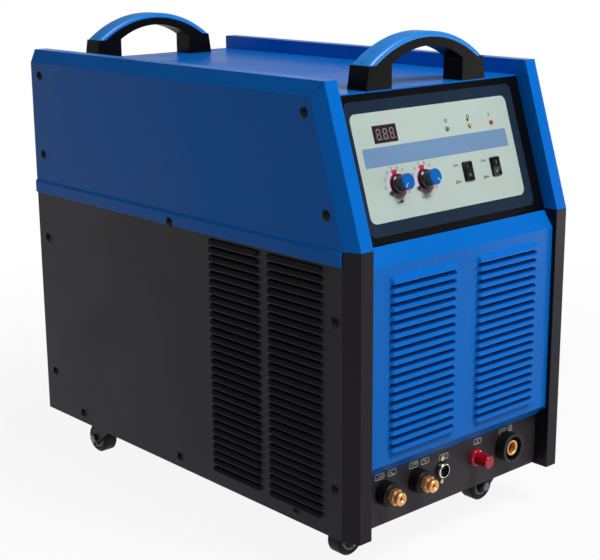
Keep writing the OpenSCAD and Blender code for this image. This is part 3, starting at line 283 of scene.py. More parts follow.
def pressed_hoods():
    tree, given, result = new_group(
        "Pressed hoods",
        [("Across", "Vector", (1, 0, 0)), ("Near", "Float", 0.1), ("Far", "Float", 0.2),
         ("Slope", "Float", -0.3), ("Normal", "Vector", UP)], [("Normal", "Vector")])
    away, past, height = outwards(tree, given)
    hood = math_node(tree, "MULTIPLY", past, math_node(tree, "LESS_THAN", away, given["Far"]))
    slant = math_node(tree, "MULTIPLY", height, given["Slope"])
    leaning = put(tree, "Bump", Strength=hood, Distance=1.0, Height=slant, Normal=given["Normal"])
    tree.links.new(leaning.outputs["Normal"], result["Normal"])
    return tree


HOODS = pressed_hoods()
print("node group:", HOODS.name)

# %% [markdown]
# ## 8. Painted light on each hood
# Light and shade on the hoods are painted into their colour. On the grille, painted shade lies on the upper
# part of each hood, under the lip above it. On the sides, a painted highlight runs along each hood's lip. A
# strip could be painted on each of
# the 160 hoods, but they repeat at an even pitch, so a little arithmetic finds them all:
# **Painted hood light** counts the hoods upwards from `Foot`, keeps the fraction of the count, and gives
# a mask that rises at one share of the pitch and falls at another.

# %% Painted hood light
def hood_band():
    tree, given, result = new_group(
        "Painted hood light",
        [("Across", "Vector", (1, 0, 0)), ("Near", "Float", 0.1), ("Foot", "Float", 0.0),
         ("Pitch", "Float", 0.01), ("Count", "Float", 20.0), ("Rise start", "Float", 0.4),
         ("Rise end", "Float", 0.5), ("Fall start", "Float", 0.6), ("Fall end", "Float", 0.7),
         ("Fall share", "Float", 1.0)], [("Mask", "Float")])
    _, past, height = outwards(tree, given)
    climb = math_node(tree, "SUBTRACT", height, given["Foot"])
    count = math_node(tree, "DIVIDE", climb, given["Pitch"])
    share = math_node(tree, "FRACT", count)
    rise = put(tree, "MapRange", Value=share, From_Min=given["Rise start"], From_Max=given["Rise end"])
    fall = put(tree, "MapRange", Value=share, From_Min=given["Fall start"], From_Max=given["Fall end"],
               To_Max=given["Fall share"])
    strip = math_node(tree, "SUBTRACT", rise.outputs["Result"], fall.outputs["Result"])
    below = math_node(tree, "LESS_THAN", count, given["Count"])
    mask = math_node(tree, "MULTIPLY", strip, math_node(tree, "MULTIPLY", past, below))
    tree.links.new(mask, result["Mask"])
    return tree


PAINTED_HOOD_LIGHT = hood_band()
print("node group:", PAINTED_HOOD_LIGHT.name)

# %% [markdown]
# ## 9. One recipe for all materials
# Every finish here is a Principled BSDF under the same chain of effects, so one function builds
# them all: the softened normal goes through the grain's bump, and the coat's slow noise also
# varies the roughness. Colours are written as they look on a screen, from 0 to 255, and turned
# into the linear values that the shader works in. Metallic, coat and specular are the same all
# over a part, so they stay plain numbers on the shader.

# %% Material recipe
M = {}


def screen(r, g, b):
    """A colour given as 0-255 screen values, in linear light."""
    return tuple(c / 3294.6 if c <= 10 else ((c / 255 + 0.055) / 1.055) ** 2.4 for c in (r, g, b)) + (1.0,)


def finish(name, colour, rough, grain=(0.8, 0.02), soft=0.5, worn=None, wear=0.5, drift=0.05,
           specks=0.1, spread=0.08, turned=False, hoods=None, tint=None, painted_light_band=None, **shader):
    """Adds a material to M. grain is (size, height) in mm and soft is the edge radius in mm.
    turned adds a lathe's rings. hoods and painted_light_band are the inputs of the groups Pressed hoods
    and Painted hood light, and tint is the colour of that band: painted shade or a painted highlight.
    Other names go to the Principled BSDF."""
    colour = screen(*colour)
    material = bpy.data.materials.new(name)
    tree = cleared(material)
    edge = use(tree, SOFT, Radius=soft * MM)
    skin = use(tree, GRAIN, Size=grain[0] * MM, Height=grain[1] * MM, Normal=edge.outputs["Normal"])
    coat = use(tree, COAT, Colour=colour, Worn_colour=screen(*worn) if worn else colour,
               Edge=edge.outputs["Edge"], Wear=wear, Drift=drift, Specks=specks)
    gloss = put(tree, "MapRange", Value=coat.outputs["Value"], From_Min=0.3, From_Max=0.7,
                To_Min=max(0.02, rough - spread), To_Max=min(1.0, rough + spread))
    normal, base = skin.outputs["Normal"], coat.outputs["Colour"]
    if turned:
        normal = use(tree, RINGS, Normal=normal).outputs["Normal"]
    if hoods:
        normal = use(tree, HOODS, Normal=normal, **hoods).outputs["Normal"]
    # The band mixes painted light into the colour: shade on the grille, a highlight on the side panels.
    if painted_light_band:
        mask = use(tree, PAINTED_HOOD_LIGHT, **painted_light_band).outputs["Mask"]
        base = put(tree, "Mix", data_type="RGBA", in0=mask, in6=base, in7=screen(*tint)).outputs[2]
    surface = put(tree, "BsdfPrincipled", Base_Color=base, Roughness=gloss.outputs["Result"],
                  Normal=normal, **shader)
    tree.links.new(surface.outputs["BSDF"], put(tree, "OutputMaterial").inputs["Surface"])
    material.diffuse_color = colour
    M[name] = material


print("material recipe ready")

# %% [markdown]
# ## 10. Powder-coated sheet
# The covers and panels are sheet steel with a baked powder coat: satin, faintly pebbled, and a
# touch paler where a fold stretched it. A simple glossy paint would look like plastic, so the
# specular level is low and the grain is broad and shallow. The grille and the side panels add
# the two hood effects, and take the louvres' foot, pitch and number from the same sizes as the
# sheet: 20 hoods in each bank of the grille and 30 in each bank of a side.

# %% Powder coats
GRILLE_FOOT, GRILLE_HEAD, GRILLE_HOODS = 88.5, 39.8, 20  # foot of the lowest hood, distance from
SIDE_FOOT, SIDE_HEAD, SIDE_HOODS = 17.0, 26.6, 30        # the seam to the topmost foot, and number
GRILLE_PITCH = (SPLIT - GRILLE_HEAD - GRILLE_FOOT) / (GRILLE_HOODS - 1)
SIDE_PITCH = (SPLIT - SIDE_HEAD - SIDE_FOOT) / (SIDE_HOODS - 1)
BACKWARDS, SIDEWAYS = (0, 1, 0), (1, 0, 0)
GRILLE_SKIN, SIDE_SKIN = 295.5 * MM, 170.4 * MM  # just outside the flat sheet

finish("powder blue", (0, 110, 208), 0.3, (0.9, 0.01), 1.3, worn=(40, 138, 228), wear=0.35,
       specks=0.06, Specular_IOR_Level=0.1)
# The grille's tint is painted shade: a navy band on the upper part of each hood, under the lip above.
finish("grille blue", (0, 110, 206), 0.32, (0.9, 0.01), 0.9, worn=(50, 138, 222), wear=0.3, specks=0.06,
       hoods={"Across": BACKWARDS, "Near": GRILLE_SKIN, "Far": 299.5 * MM, "Slope": -0.3},
       tint=(0, 34, 104),
       painted_light_band={"Across": BACKWARDS, "Near": GRILLE_SKIN, "Foot": (FLOOR + GRILLE_FOOT) * MM,
             "Pitch": GRILLE_PITCH * MM, "Count": GRILLE_HOODS - 1.0, "Rise_start": 0.42,
             "Rise_end": 0.55, "Fall_start": 0.56, "Fall_end": 0.76, "Fall_share": 0.85},
       Specular_IOR_Level=0.12)
# The side panels' tint is a painted highlight: a pale line along each hood's lip.
finish("powder black", (15, 14, 18), 0.4, (0.7, 0.04), 0.7, worn=(80, 78, 84), wear=0.3, drift=0.07,
       specks=0.3, hoods={"Across": SIDEWAYS, "Near": SIDE_SKIN, "Far": 174.3 * MM, "Slope": -0.3},
       tint=(62, 58, 64),
       painted_light_band={"Across": SIDEWAYS, "Near": SIDE_SKIN, "Foot": (FLOOR + SIDE_FOOT) * MM,
             "Pitch": SIDE_PITCH * MM, "Count": float(SIDE_HOODS), "Rise_start": -0.02,
             "Rise_end": 0.0, "Fall_start": 0.04, "Fall_end": 0.1, "Fall_share": 1.0},
       Specular_IOR_Level=0.17, Specular_Tint=(0.93, 0.84, 1.0, 1))
finish("powder dark grey", (48, 43, 48), 0.5, (0.7, 0.05), 0.7, worn=(110, 106, 110), wear=0.3,
       drift=0.07, specks=0.3, Specular_IOR_Level=0.2)
finish("panel black", (8, 8, 12), 0.4, (0.7, 0.04), 0.5, worn=(50, 50, 56), wear=0.2, drift=0.06,
       specks=0.2, Specular_IOR_Level=0.06)
print("hoods repeat every", round(GRILLE_PITCH, 2), "mm in front,", round(SIDE_PITCH, 2), "mm at a side")

# %% [markdown]
# ## 11. Film and inks
# The control panel carries a printed polycarbonate film, and the sheet metal has small painted
# signs. Both could be one picture on a plane. Separate thin layers keep crisp edges at any
# distance and each gets a gloss of its own. Printed ink has hardly any grain and no worn edges.

# %% Film and inks
PRINT = {"grain": (0.35, 0.003), "soft": 0.1}
PAINT = {"grain": (0.4, 0.01), "soft": 0.1, "drift": 0.12}
finish("slate film", (28, 45, 64), 0.3, (0.35, 0.004), 0.2, worn=(60, 84, 106), wear=0.2,
       Specular_IOR_Level=0.1)
finish("label print", (185, 202, 194), 0.4, worn=(205, 222, 214), **PRINT)
finish("banner print", (110, 145, 184), 0.4, worn=(120, 155, 195), **PRINT)
finish("dial ring print", (208, 198, 222), 0.4, worn=(215, 205, 230), **PRINT)
# One grey in this list, for the output sleeve's rim, is a painted highlight.
# The darker red for the discs under the knobs is painted shade.
for name, colour, rough in (
        ("dial shadow print", (112, 106, 132), 0.4), ("dial line print", (140, 152, 182), 0.4),
        ("red print", (206, 22, 50), 0.4), ("dark red print", (110, 22, 40), 0.4),
        ("dark ink", (50, 58, 62), 0.45), ("black ink", (26, 26, 30), 0.45)):
    finish(name, colour, rough, **PRINT)
finish("pale ink", (168, 164, 168), 0.5, specks=0.4, **PAINT)
finish("sign ink", (205, 202, 206), 0.5, specks=0.3, **PAINT)
finish("white ink", (225, 232, 235), 0.4, (0.4, 0.004), 0.1)
finish("display face", (34, 24, 30), 0.25, (0.4, 0.002), 0.2)
finish("display segments", (150, 126, 132), 0.35, (0.3, 0.003), 0.1)
print(len(M), "materials so far")

# %% [markdown]
# ## 12. Plastics and rubber
# Handles, knobs, switches and insulators are moulded. Their gloss tells them apart more than
# their colour does: a knob is polished, a handle has a fine spark-eroded skin, and an insulator
# is dull. The grips' edges get a wide radius, because they are thick and soft. A clear coat on
# the three lamp lenses gives the second, sharper highlight of a smooth cap over coloured resin.

# %% Plastics, rubber and lamps
finish("moulded black", (17, 17, 20), 0.36, (0.5, 0.012), 0.5, worn=(58, 58, 62), wear=0.25,
       drift=0.06, specks=0.12, Specular_IOR_Level=0.2)
finish("handle black", (8, 8, 10), 0.4, (0.5, 0.012), 0.7, worn=(70, 68, 72), wear=0.3,
       drift=0.06, specks=0.12, Specular_IOR_Level=0.07)
finish("gloss black", (20, 20, 23), 0.2, (0.8, 0.003), 0.3, worn=(50, 50, 54), wear=0.2,
       specks=0.04, spread=0.05)
finish("insulator black", (13, 13, 15), 0.5, (0.5, 0.02), 0.5, worn=(70, 70, 74), wear=0.3,
       drift=0.06, specks=0.2, Specular_IOR_Level=0.2)
finish("blue plastic", (0, 98, 186), 0.26, (0.7, 0.004), 0.6, worn=(40, 140, 225), wear=0.3,
       drift=0.04, specks=0.03, spread=0.05, Specular_IOR_Level=0.25)
finish("grip blue", (10, 134, 226), 0.3, (0.7, 0.004), 1.6, worn=(60, 160, 240), wear=0.3,
       drift=0.04, specks=0.03, spread=0.05)
finish("red plastic", (172, 8, 28), 0.22, (0.7, 0.004), 0.4, worn=(190, 60, 66), wear=0.4,
       specks=0.03, spread=0.05)
finish("pale grey plastic", (190, 193, 194), 0.42, (0.5, 0.01), 0.4, worn=(215, 216, 216), wear=0.2)
# This rubber also makes the strip of painted shade in the seam.
finish("tyre rubber and seam shade", (18, 17, 18), 0.55, (0.5, 0.02), 0.5, worn=(60, 58, 60), wear=0.4, drift=0.1,
       specks=0.2, Specular_IOR_Level=0.15)
finish("hub plastic", (150, 140, 138), 0.45, (0.5, 0.01), 0.4, worn=(160, 155, 155), wear=0.3, drift=0.08)
# A darker blue for the grips' moulded ovals: painted shade in the moulded line.
finish("grip groove painted shade", (20, 84, 160), 0.4, (0.5, 0.01), 0.1)
finish("seam shadow", (0, 22, 60), 0.6, (0.5, 0.01), 0.1)
# A near black for the sheets of painted shade behind the louvres.
finish("shade sheet black", (10, 10, 11), 0.9, (1.2, 0.3), 0.1, Specular_IOR_Level=0.1)
for name, colour in (("green lamp", (0, 150, 92)), ("amber lamp", (190, 146, 44)),
                     ("red lamp", (178, 0, 22))):
    finish(name, colour, 0.12, (0.9, 0.002), 0.2, drift=0.08, spread=0.04,
           Coat_Weight=0.5, Coat_Roughness=0.05)
print(len(M), "materials so far")

# %% [markdown]
# ## 13. Metals and inside parts
# Brass, nickel and zinc are told apart by the tint of their reflections, so their base colour is
# that tint and `Metallic` is near 1. Turned parts get the rings of section 6. The board, the
# winding and the cast pump can only be glimpsed inside, and a plainer mix is enough for them.

# %% Metals and inside parts
finish("turned brass", (232, 176, 116), 0.44, (0.5, 0.004), 0.25, worn=(240, 205, 160), drift=0.08,
       specks=0.05, turned=True, Metallic=0.8)
finish("nickel plate", (214, 206, 202), 0.14, (0.5, 0.003), 0.25, worn=(235, 235, 235), wear=0.3,
       drift=0.06, specks=0.03, spread=0.06, turned=True, Metallic=1.0)
finish("extruded alloy", (188, 190, 194), 0.34, (0.5, 0.01), 0.2, worn=(220, 220, 222), wear=0.3,
       drift=0.06, specks=0.05, turned=True, Metallic=1.0)
finish("dull zinc", (112, 114, 120), 0.36, (0.5, 0.008), 0.3, worn=(150, 152, 158), wear=0.4,
       drift=0.1, Metallic=1.0)
finish("zinc plate", (176, 178, 184), 0.3, (0.5, 0.008), 0.3, worn=(215, 216, 220), wear=0.4,
       drift=0.1, Metallic=1.0)
finish("yellow zinc", (212, 206, 160), 0.3, (0.5, 0.006), 0.2, worn=(235, 230, 200), wear=0.4,
       drift=0.1, Metallic=1.0)
finish("cast alloy", (150, 152, 156), 0.5, (0.8, 0.08), 0.5, worn=(190, 190, 194), wear=0.3,
       drift=0.08, specks=0.2, Metallic=0.8)
# The blackened screws' pale edges are partly wear and partly a painted glint on the recess edges.
finish("blackened screw", (9, 9, 11), 0.26, (0.4, 0.01), 0.35, worn=(58, 58, 62), wear=0.6,
       drift=0.06, Specular_IOR_Level=0.12)
finish("circuit board", (18, 74, 44), 0.4, (0.6, 0.01), 0.2, worn=(60, 120, 80), wear=0.3,
       drift=0.12, specks=0.3)
finish("varnished winding", (110, 62, 34), 0.4, (1.6, 0.2), 0.3, worn=(170, 110, 70), wear=0.4,
       drift=0.15, specks=0.3)
print(len(M), "materials")

# %% [markdown]
# ## 14. Dress the CAD nodes
# Each solid of the cabinet has its finish from the shop. A node could be copied and remodelled,
# but its shape is right, so it keeps its mesh and only gets a material. Round faces get smooth
# shading, while edges that turn by more than 28 degrees stay sharp, as a fold does.

# %% Dress the CAD nodes
CORNERS = ("fl", "fr", "rl", "rr")
DRESS = {
    "powder blue": ["cover_left", "cover_right", "top_plate"],
    "grille blue": ["front_grille"],
    "powder black": ["side_panel_left", "side_panel_right", "base_tray", "rear_panel"]
                    + ["caster_fork_" + corner for corner in CORNERS],
    "powder dark grey": ["terminal_panel"],
    "panel black": ["control_panel"],
    "slate film": ["panel_overlay"],
    "display face": ["display_window"],
    "moulded black": ["display_module", "rocker_housings", "fan_frames", "fan_rotor_left",
                      "fan_rotor_right", "cable_gland", "breaker_toggle", "control_socket_insert",
                      "rocker_left", "rocker_right"],
    "handle black": ["front_handle", "rear_handle"],
    "gloss black": ["knob_left", "knob_right"],
    "insulator black": ["terminal_insulators", "output_sleeve"],
    "blue plastic": ["knob_left_cap", "knob_right_cap"],
    "grip blue": ["front_grip", "rear_grip"],
    "red plastic": ["binding_post", "binding_cap"],
    "green lamp": ["lamp_green"],
    "amber lamp": ["lamp_amber"],
    "red lamp": ["lamp_red"],
    "turned brass": ["torch_connectors", "output_contact", "earth_stud"],
    "nickel plate": ["control_socket"],
    "zinc plate": ["potentiometers", "handle_bolts", "fan_guards", "caster_plates", "inner_deck"],
    "tyre rubber and seam shade": ["caster_wheel_" + corner for corner in CORNERS],
    "blackened screw": ["case_screws"],
    "pale grey plastic": ["breaker"],
    "extruded alloy": ["heatsink"],
    "circuit board": ["inverter_board"],
    "varnished winding": ["main_transformer"],
    "cast alloy": ["air_compressor"],
}
SHARP = math.radians(28)
for key, names in DRESS.items():
    for name in names:
        mesh = nodes[name].data
        mesh.materials.clear()
        mesh.materials.append(M[key])
        mesh.shade_smooth()
        mesh.set_sharp_from_angle(angle=SHARP)
print("nodes without a material:", sorted(set(nodes) - {name for names in DRESS.values() for name in names}))

# %% [markdown]
# ## 15. Slabs and pieces
# A print, a mat and a strip of rubber are all flat slabs of some outline. A cube could be scaled
# to fit, but it has no rounded corners. A `bmesh` is a mesh that is easy to build up in code:
# `prism` makes one face of an outline and extrudes it. `shape` moves the result into its place,
# turns all its faces outwards, gives it a material, and makes it ride on a body of the machine.

# %% Slabs and pieces
def prism(bm, outline, low, high):
    """Extrudes a closed outline of (x, y) points from z = low to z = high."""
    face = bm.faces.new([bm.verts.new((x, y, low)) for x, y in outline])
    grown = bmesh.ops.extrude_face_region(bm, geom=[face])["geom"]
    risen = [part for part in grown if isinstance(part, bmesh.types.BMVert)]
    bmesh.ops.translate(bm, vec=(0, 0, high - low), verts=risen)


def rounded(width, height, radius, at=(0, 0), steps=8):
    """The outline of a rectangle with rounded corners."""
    outline = []
    for sx, sy, start in ((1, 1, 0), (-1, 1, 90), (-1, -1, 180), (1, -1, 270)):
        for i in range(steps + 1):
            a = math.radians(start + 90 * i / steps)
            outline.append((at[0] + sx * (width / 2 - radius) + radius * math.cos(a),
                            at[1] + sy * (height / 2 - radius) + radius * math.sin(a)))
    return outline


def add(name, data):
    """A new object in the scene, at the origin."""
    thing = bpy.data.objects.new(name, data)
    bpy.context.scene.collection.objects.link(thing)
    return thing


def shape(name, bm, where, finish_name, body="cabinet", smooth=None):
    """Turns a bmesh drawn in a place's millimetres into a piece of the object."""
    bmesh.ops.transform(bm, matrix=where, verts=bm.verts)
    bmesh.ops.recalc_face_normals(bm, faces=bm.faces)
    mesh = bpy.data.meshes.new(name)
    bm.to_mesh(mesh)
    bm.free()
    piece = add(name, mesh)
    mesh.materials.append(M[finish_name])
    if smooth is not None:
        mesh.shade_smooth()
        mesh.set_sharp_from_angle(angle=math.radians(smooth))
    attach(piece, body)


print("slabs and pieces can be made")

# %% [markdown]
# ## 16. The label and its banner
# The pale field and the blue banner are printed on the film. They could be flat faces laid on
# it, but two surfaces at one height flicker, so each print is a closed slab of ink that stands a
# little higher than the one below it.

# %% Label and banner
FILM, LAYER = 0.5, 0.06  # thickness of the film, and of one layer of ink
INK = (FILM, FILM + 2 * LAYER)
UNDERPRINT, OVERPRINT = (FILM, FILM + 2 * LAYER - 0.02), (FILM, FILM + 3 * LAYER)
LABEL_WIDE, LABEL_HIGH, LABEL_CORNER, LABEL_AT = 242.5, 113.0, 8.0, (-3.75, 76.5)
BANNER_WIDE, BANNER_HIGH, BANNER_CORNER, BANNER_AT = 223.5, 20.0, 1.6, (-4.9, 86.6)
field = bmesh.new()
prism(field, rounded(LABEL_WIDE, LABEL_HIGH, LABEL_CORNER, LABEL_AT), FILM - 0.02, FILM + LAYER)
shape("label_field", field, PANEL, "label print")
banner = bmesh.new()
prism(banner, rounded(BANNER_WIDE, BANNER_HIGH, BANNER_CORNER, BANNER_AT), *INK)
shape("label_banner", banner, PANEL, "banner print")
print("label and banner printed")

# %% [markdown]
# ## 17. Arcs and figures
# A dial is printed with arcs and figures. A ring could be cut out of a disc with a boolean, but
# an outline that runs out along the outer arc and back along the inner one needs no cutting.
# `band` splits long arcs, so that no face wraps round its own hole. The figures come from
# Blender's text object, made a mesh by `pour`, which also merges the text's doubled points.

# %% Arcs and figures
def band(bm, at, inner, outer, start, end, low, high):
    """Part of a flat ring. Angles run clockwise from straight up, in degrees, as on a dial."""
    parts = max(1, round(abs(end - start) / 120 + 0.49))
    for part in range(parts):
        first = start + (end - start) * part / parts
        last = start + (end - start) * (part + 1) / parts
        steps = max(2, round(abs(last - first) / 6))
        angles = [math.radians(first + (last - first) * i / steps) for i in range(steps + 1)]
        outside = [(at[0] + outer * math.sin(a), at[1] + outer * math.cos(a)) for a in angles]
        inside = [(at[0] + inner * math.sin(a), at[1] + inner * math.cos(a)) for a in reversed(angles)]
        prism(bm, outside + inside, low, high)


def pour(bm, curve, where=Matrix()):
    """Turns a curve or a text into faces and adds them to a bmesh."""
    holder = add("pattern", curve)
    bpy.context.view_layer.update()
    mesh = bpy.data.meshes.new_from_object(holder.evaluated_get(bpy.context.evaluated_depsgraph_get()))
    mesh.transform(where)
    bm.from_mesh(mesh)
    bmesh.ops.remove_doubles(bm, verts=bm.verts, dist=0.0005)
    bpy.data.objects.remove(holder)
    bpy.data.curves.remove(curve)
    bpy.data.meshes.remove(mesh)


def digits(bm, text, size, at, low, high):
    """Adds printed figures to a bmesh."""
    curve = bpy.data.curves.new("figure", "FONT")
    curve.body, curve.size = text, size
    curve.align_x, curve.align_y = "CENTER", "CENTER"
    curve.resolution_u = 3
    curve.extrude = (high - low) / 2
    pour(bm, curve, Matrix.Translation((at[0], at[1], (low + high) / 2)))


print("arcs and figures can be printed")

# %% [markdown]
# ## 18. The two dials
# Round each knob the label shows a pale ring with a scale from 1 to 10, red wedges and a dark
# start. All of it could be one mesh with several materials. One bmesh for each colour of ink,
# filled for both dials in turn, keeps every piece in a single finish.

# %% Dials
KNOBS, CONTROLS = (-76.0, -35.0), 56.46  # the knobs' x, and the height of all controls
RING_IN, RING_OUT = 11.0, 15.0
RIM_LINE, DISC = 0.35, (7.2, 12.0)  # width of the ring's outline, and radii of the dark disc
DIAL_SHIFT = -1.6  # the ring is printed a little to the left of the knob
RING_START, RING_END, LOW_END = -138, 145, 222  # degrees, clockwise from straight up
FIRST_FIGURE, FIGURE_STEP, FIGURE_AT, FIGURE_SIZE = -124, 27.6, 17.5, 4.9
dial = {part: bmesh.new() for part in (
    "rings", "rings_low", "lines", "shaded_discs", "wedges", "starts", "figures")}
for knob in KNOBS:
    at = (knob + DIAL_SHIFT, CONTROLS)
    band(dial["rings"], at, RING_IN, RING_OUT, RING_START, RING_END, *INK)
    band(dial["rings_low"], at, RING_IN, RING_OUT, RING_END, LOW_END, *INK)
    band(dial["lines"], at, RING_OUT, RING_OUT + RIM_LINE, 0, 360, *INK)
    # The disc under the knob is a darker red than the wedges: painted shade round the knob's foot.
    band(dial["shaded_discs"], (knob, CONTROLS), *DISC, 0, 360, *UNDERPRINT)
    for start, end in ((-20, 13), (127, RING_END)):
        band(dial["wedges"], at, RING_IN, RING_OUT + 0.3, start, end, *OVERPRINT)
    band(dial["starts"], at, RING_IN, RING_OUT + 0.9, RING_START, -119, *OVERPRINT)
    for number in range(1, 11):
        angle = math.radians(FIRST_FIGURE + FIGURE_STEP * (number - 1))
        spot = (at[0] + FIGURE_AT * math.sin(angle), at[1] + FIGURE_AT * math.cos(angle))
        digits(dial["figures"], str(number), FIGURE_SIZE, spot, *INK)
for part, ink in zip(dial, ("dial ring print", "dial shadow print", "dial line print", "dark red print",
                            "red print", "black ink", "black ink")):
    shape("dial_" + part, dial[part], PANEL, ink)
print(len(KNOBS), "dials printed")

# %% [markdown]
# ## 19. Signs above the lamps
# Small signs stand above the lamps: a mains sign, a thermometer and a spark. They could come
# from a symbol font, but plain strokes, arcs and wedges need no font at all. `line` is one
# straight stroke, and `disc` closes a band to its middle in two halves.

# %% Signs above the lamps
LAMPS, ROCKERS = (14.0, 50.0, 86.0), (32.0, 77.5)  # x of the lamps and the switches
MIDDLE = 0.0001  # the smallest inner radius, which leaves no hole to be seen


def line(bm, a, b, width, low, high):
    """A straight printed stroke from a to b."""
    a, b = Vector(a), Vector(b)
    side = (b - a).normalized().orthogonal() * width / 2
    prism(bm, [a + side, a - side, b - side, b + side], low, high)


def disc(bm, at, radius, low, high):
    """A round printed spot, in two halves."""
    for start in (0, 180):
        band(bm, at, MIDDLE, radius, start, start + 180, low, high)


signs = bmesh.new()
x, y = LAMPS[0], 113.8
band(signs, (x, y), 1.5, 2.3, 35, 325, *INK)
line(signs, (x, y), (x, y + 2.5), 0.8, *INK)
x, y = LAMPS[1] - 1.2, 111.4
disc(signs, (x, y), 1.6, *INK)
line(signs, (x, y), (x, y + 6.0), 1.3, *INK)
for y in (113.0, 114.7, 116.4):
    line(signs, (x + 1.5, y), (x + 3.8, y), 0.8, *INK)
x, y = LAMPS[2] - 1.5, 114.0
prism(signs, [(x + 0.6, y + 2.4), (x - 1.6, y - 0.3), (x - 0.2, y - 0.3), (x - 0.7, y - 2.4),
              (x + 1.6, y + 0.5), (x + 0.2, y + 0.5)], *INK)
print("three lamp signs drawn")

# %% [markdown]
# ## 20. Signs by the dials and switches
# A ramp and a clock face stand under the dials, and I and O with arrows beside the switches.
# They could be pieces of their own, but they share the lamp signs' ink and body, so they are
# added to the same bmesh and become one piece with them.

# %% Signs by the dials and switches
x, y = KNOBS[0] - 3.0, 38.4
prism(signs, [(x - 5.2, y - 1.7), (x + 5.2, y - 1.7), (x + 5.2, y + 1.9)], *INK)
x = KNOBS[1] - 5.0
band(signs, (x, y), 1.5, 2.2, 0, 360, *INK)
line(signs, (x, y), (x, y + 1.6), 0.6, *INK)
line(signs, (x, y), (x + 1.2, y), 0.6, *INK)
for way in (-1, 1):
    for rise in (1.0, -1.0):
        line(signs, (x + way * 2.8, y + rise), (x + way * 5.4, y + rise), 0.9, *INK)
for rocker in ROCKERS:
    x, on, off = rocker - 17.4, 64.8, 46.8
    line(signs, (x - 2.8, on - 1.7), (x - 2.8, on + 1.7), 1.1, *INK)
    band(signs, (x - 2.8, off), 1.0, 1.9, 0, 360, *INK)
    for y in (on, off):
        for gap in (-0.4, 1.9):
            prism(signs, [(x + gap, y - 1.6), (x + gap + 2.0, y), (x + gap, y + 1.6)], *INK)
shape("label_signs", signs, PANEL, "black ink")
print("signs by the dials and switches drawn")

# %% [markdown]
# ## 21. The display
# The dark window shows three seven-segment figures. They are switched off, so their
# segments are only a little paler than the face. A segment could be a plain bar, but the real
# ones are pointed, so that neighbours meet with an even gap: `segment` draws such a hexagon
# between two tips. A round dot closes each figure.

# %% Display
GLASS = (0.8, 0.8 + LAYER)
FIGURES_AT, FIGURES_MIDDLE = (-89.2, -79.4, -69.6), 109.4
WIDE, HIGH, STROKE, POINT = 5.0, 10.4, 1.25, 0.55
cells = bmesh.new()


def segment(a, b):
    """One pointed segment of a figure, from tip a to tip b."""
    a, b = Vector(a), Vector(b)
    along = (b - a).normalized()
    side = Vector((-along.y, along.x)) * STROKE / 2
    a_end, b_end = a + along * POINT, b - along * POINT
    prism(cells, [a, a_end + side, b_end + side, b, b_end - side, a_end - side], *GLASS)


for x in FIGURES_AT:
    for row in (-1, 0, 1):
        y = FIGURES_MIDDLE + row * HIGH / 2
        segment((x - WIDE / 2 + 0.25, y), (x + WIDE / 2 - 0.25, y))
    for column in (-1, 1):
        for half in (-1, 1):
            segment((x + column * WIDE / 2, FIGURES_MIDDLE + half * 0.35),
                    (x + column * WIDE / 2, FIGURES_MIDDLE + half * (HIGH / 2 - 0.3)))
    disc(cells, (x + WIDE / 2 + 1.9, FIGURES_MIDDLE - HIGH / 2 + 0.2), 0.6, *GLASS)
shape("display_segments", cells, PANEL, "display segments")
print(len(FIGURES_AT), "figures in the display")

# %% [markdown]
# ## 22. Marks on the moving controls
# A knob's pointer is a white strip in the groove of its end, and a switch carries I and O on the
# two faces of its paddle. They could be printed in the material, but a mark has to turn with its
# control, so each is a thin piece that rides on that control's own body. The places tip with
# the paddles: first by the switch's own tilt, and then by half the angle between its two faces.

# %% Marks on the moving controls
POINTER_FOOT, POINTER_TOP = 16.2, 16.52
for name, knob, turn in (("left", KNOBS[0], -135), ("right", KNOBS[1], -45)):
    pointer = bmesh.new()
    prism(pointer, rounded(5.8, 0.72, 0.34, (5.2, 0)), POINTER_FOOT, POINTER_TOP)
    shape("knob_pointer_" + name, pointer, moved(PANEL, knob, CONTROLS, 0, turn), "white ink",
          "knob_" + name)

RIDGE, HALF_TILT = 4.4, 9.0  # height of the paddle's ridge, and slope of each face in degrees
for name, rocker, tilt in (("left", ROCKERS[0], -9.0), ("right", ROCKERS[1], 9.0)):
    ridge = moved(tipped(moved(PANEL, rocker, CONTROLS, -1.0), tilt), 0, 0, RIDGE)
    bar = bmesh.new()
    line(bar, (0, 3.4), (0, 6.2), 0.55, 0, LAYER)
    shape("rocker_mark_on_" + name, bar, tipped(ridge, -HALF_TILT), "pale ink",
          "rocker_" + name)
    zero = bmesh.new()
    band(zero, (0, -4.8), 1.0, 1.5, 0, 360, 0, LAYER)
    shape("rocker_mark_off_" + name, zero, tipped(ridge, HALF_TILT), "pale ink",
          "rocker_" + name)
print("pointers and rocker marks ride on their controls")

# %% [markdown]
# ## 23. Signs over the terminals
# A small line sign is printed over every terminal: a frame with a plain mark in it, such as a
# torch, an arc or a spark. A frame could be a flat ring, but strokes along a rounded outline
# give its even line width with the tool that is already here. The panel stands upright, so here
# y is the height above the cabinet's lower edge.

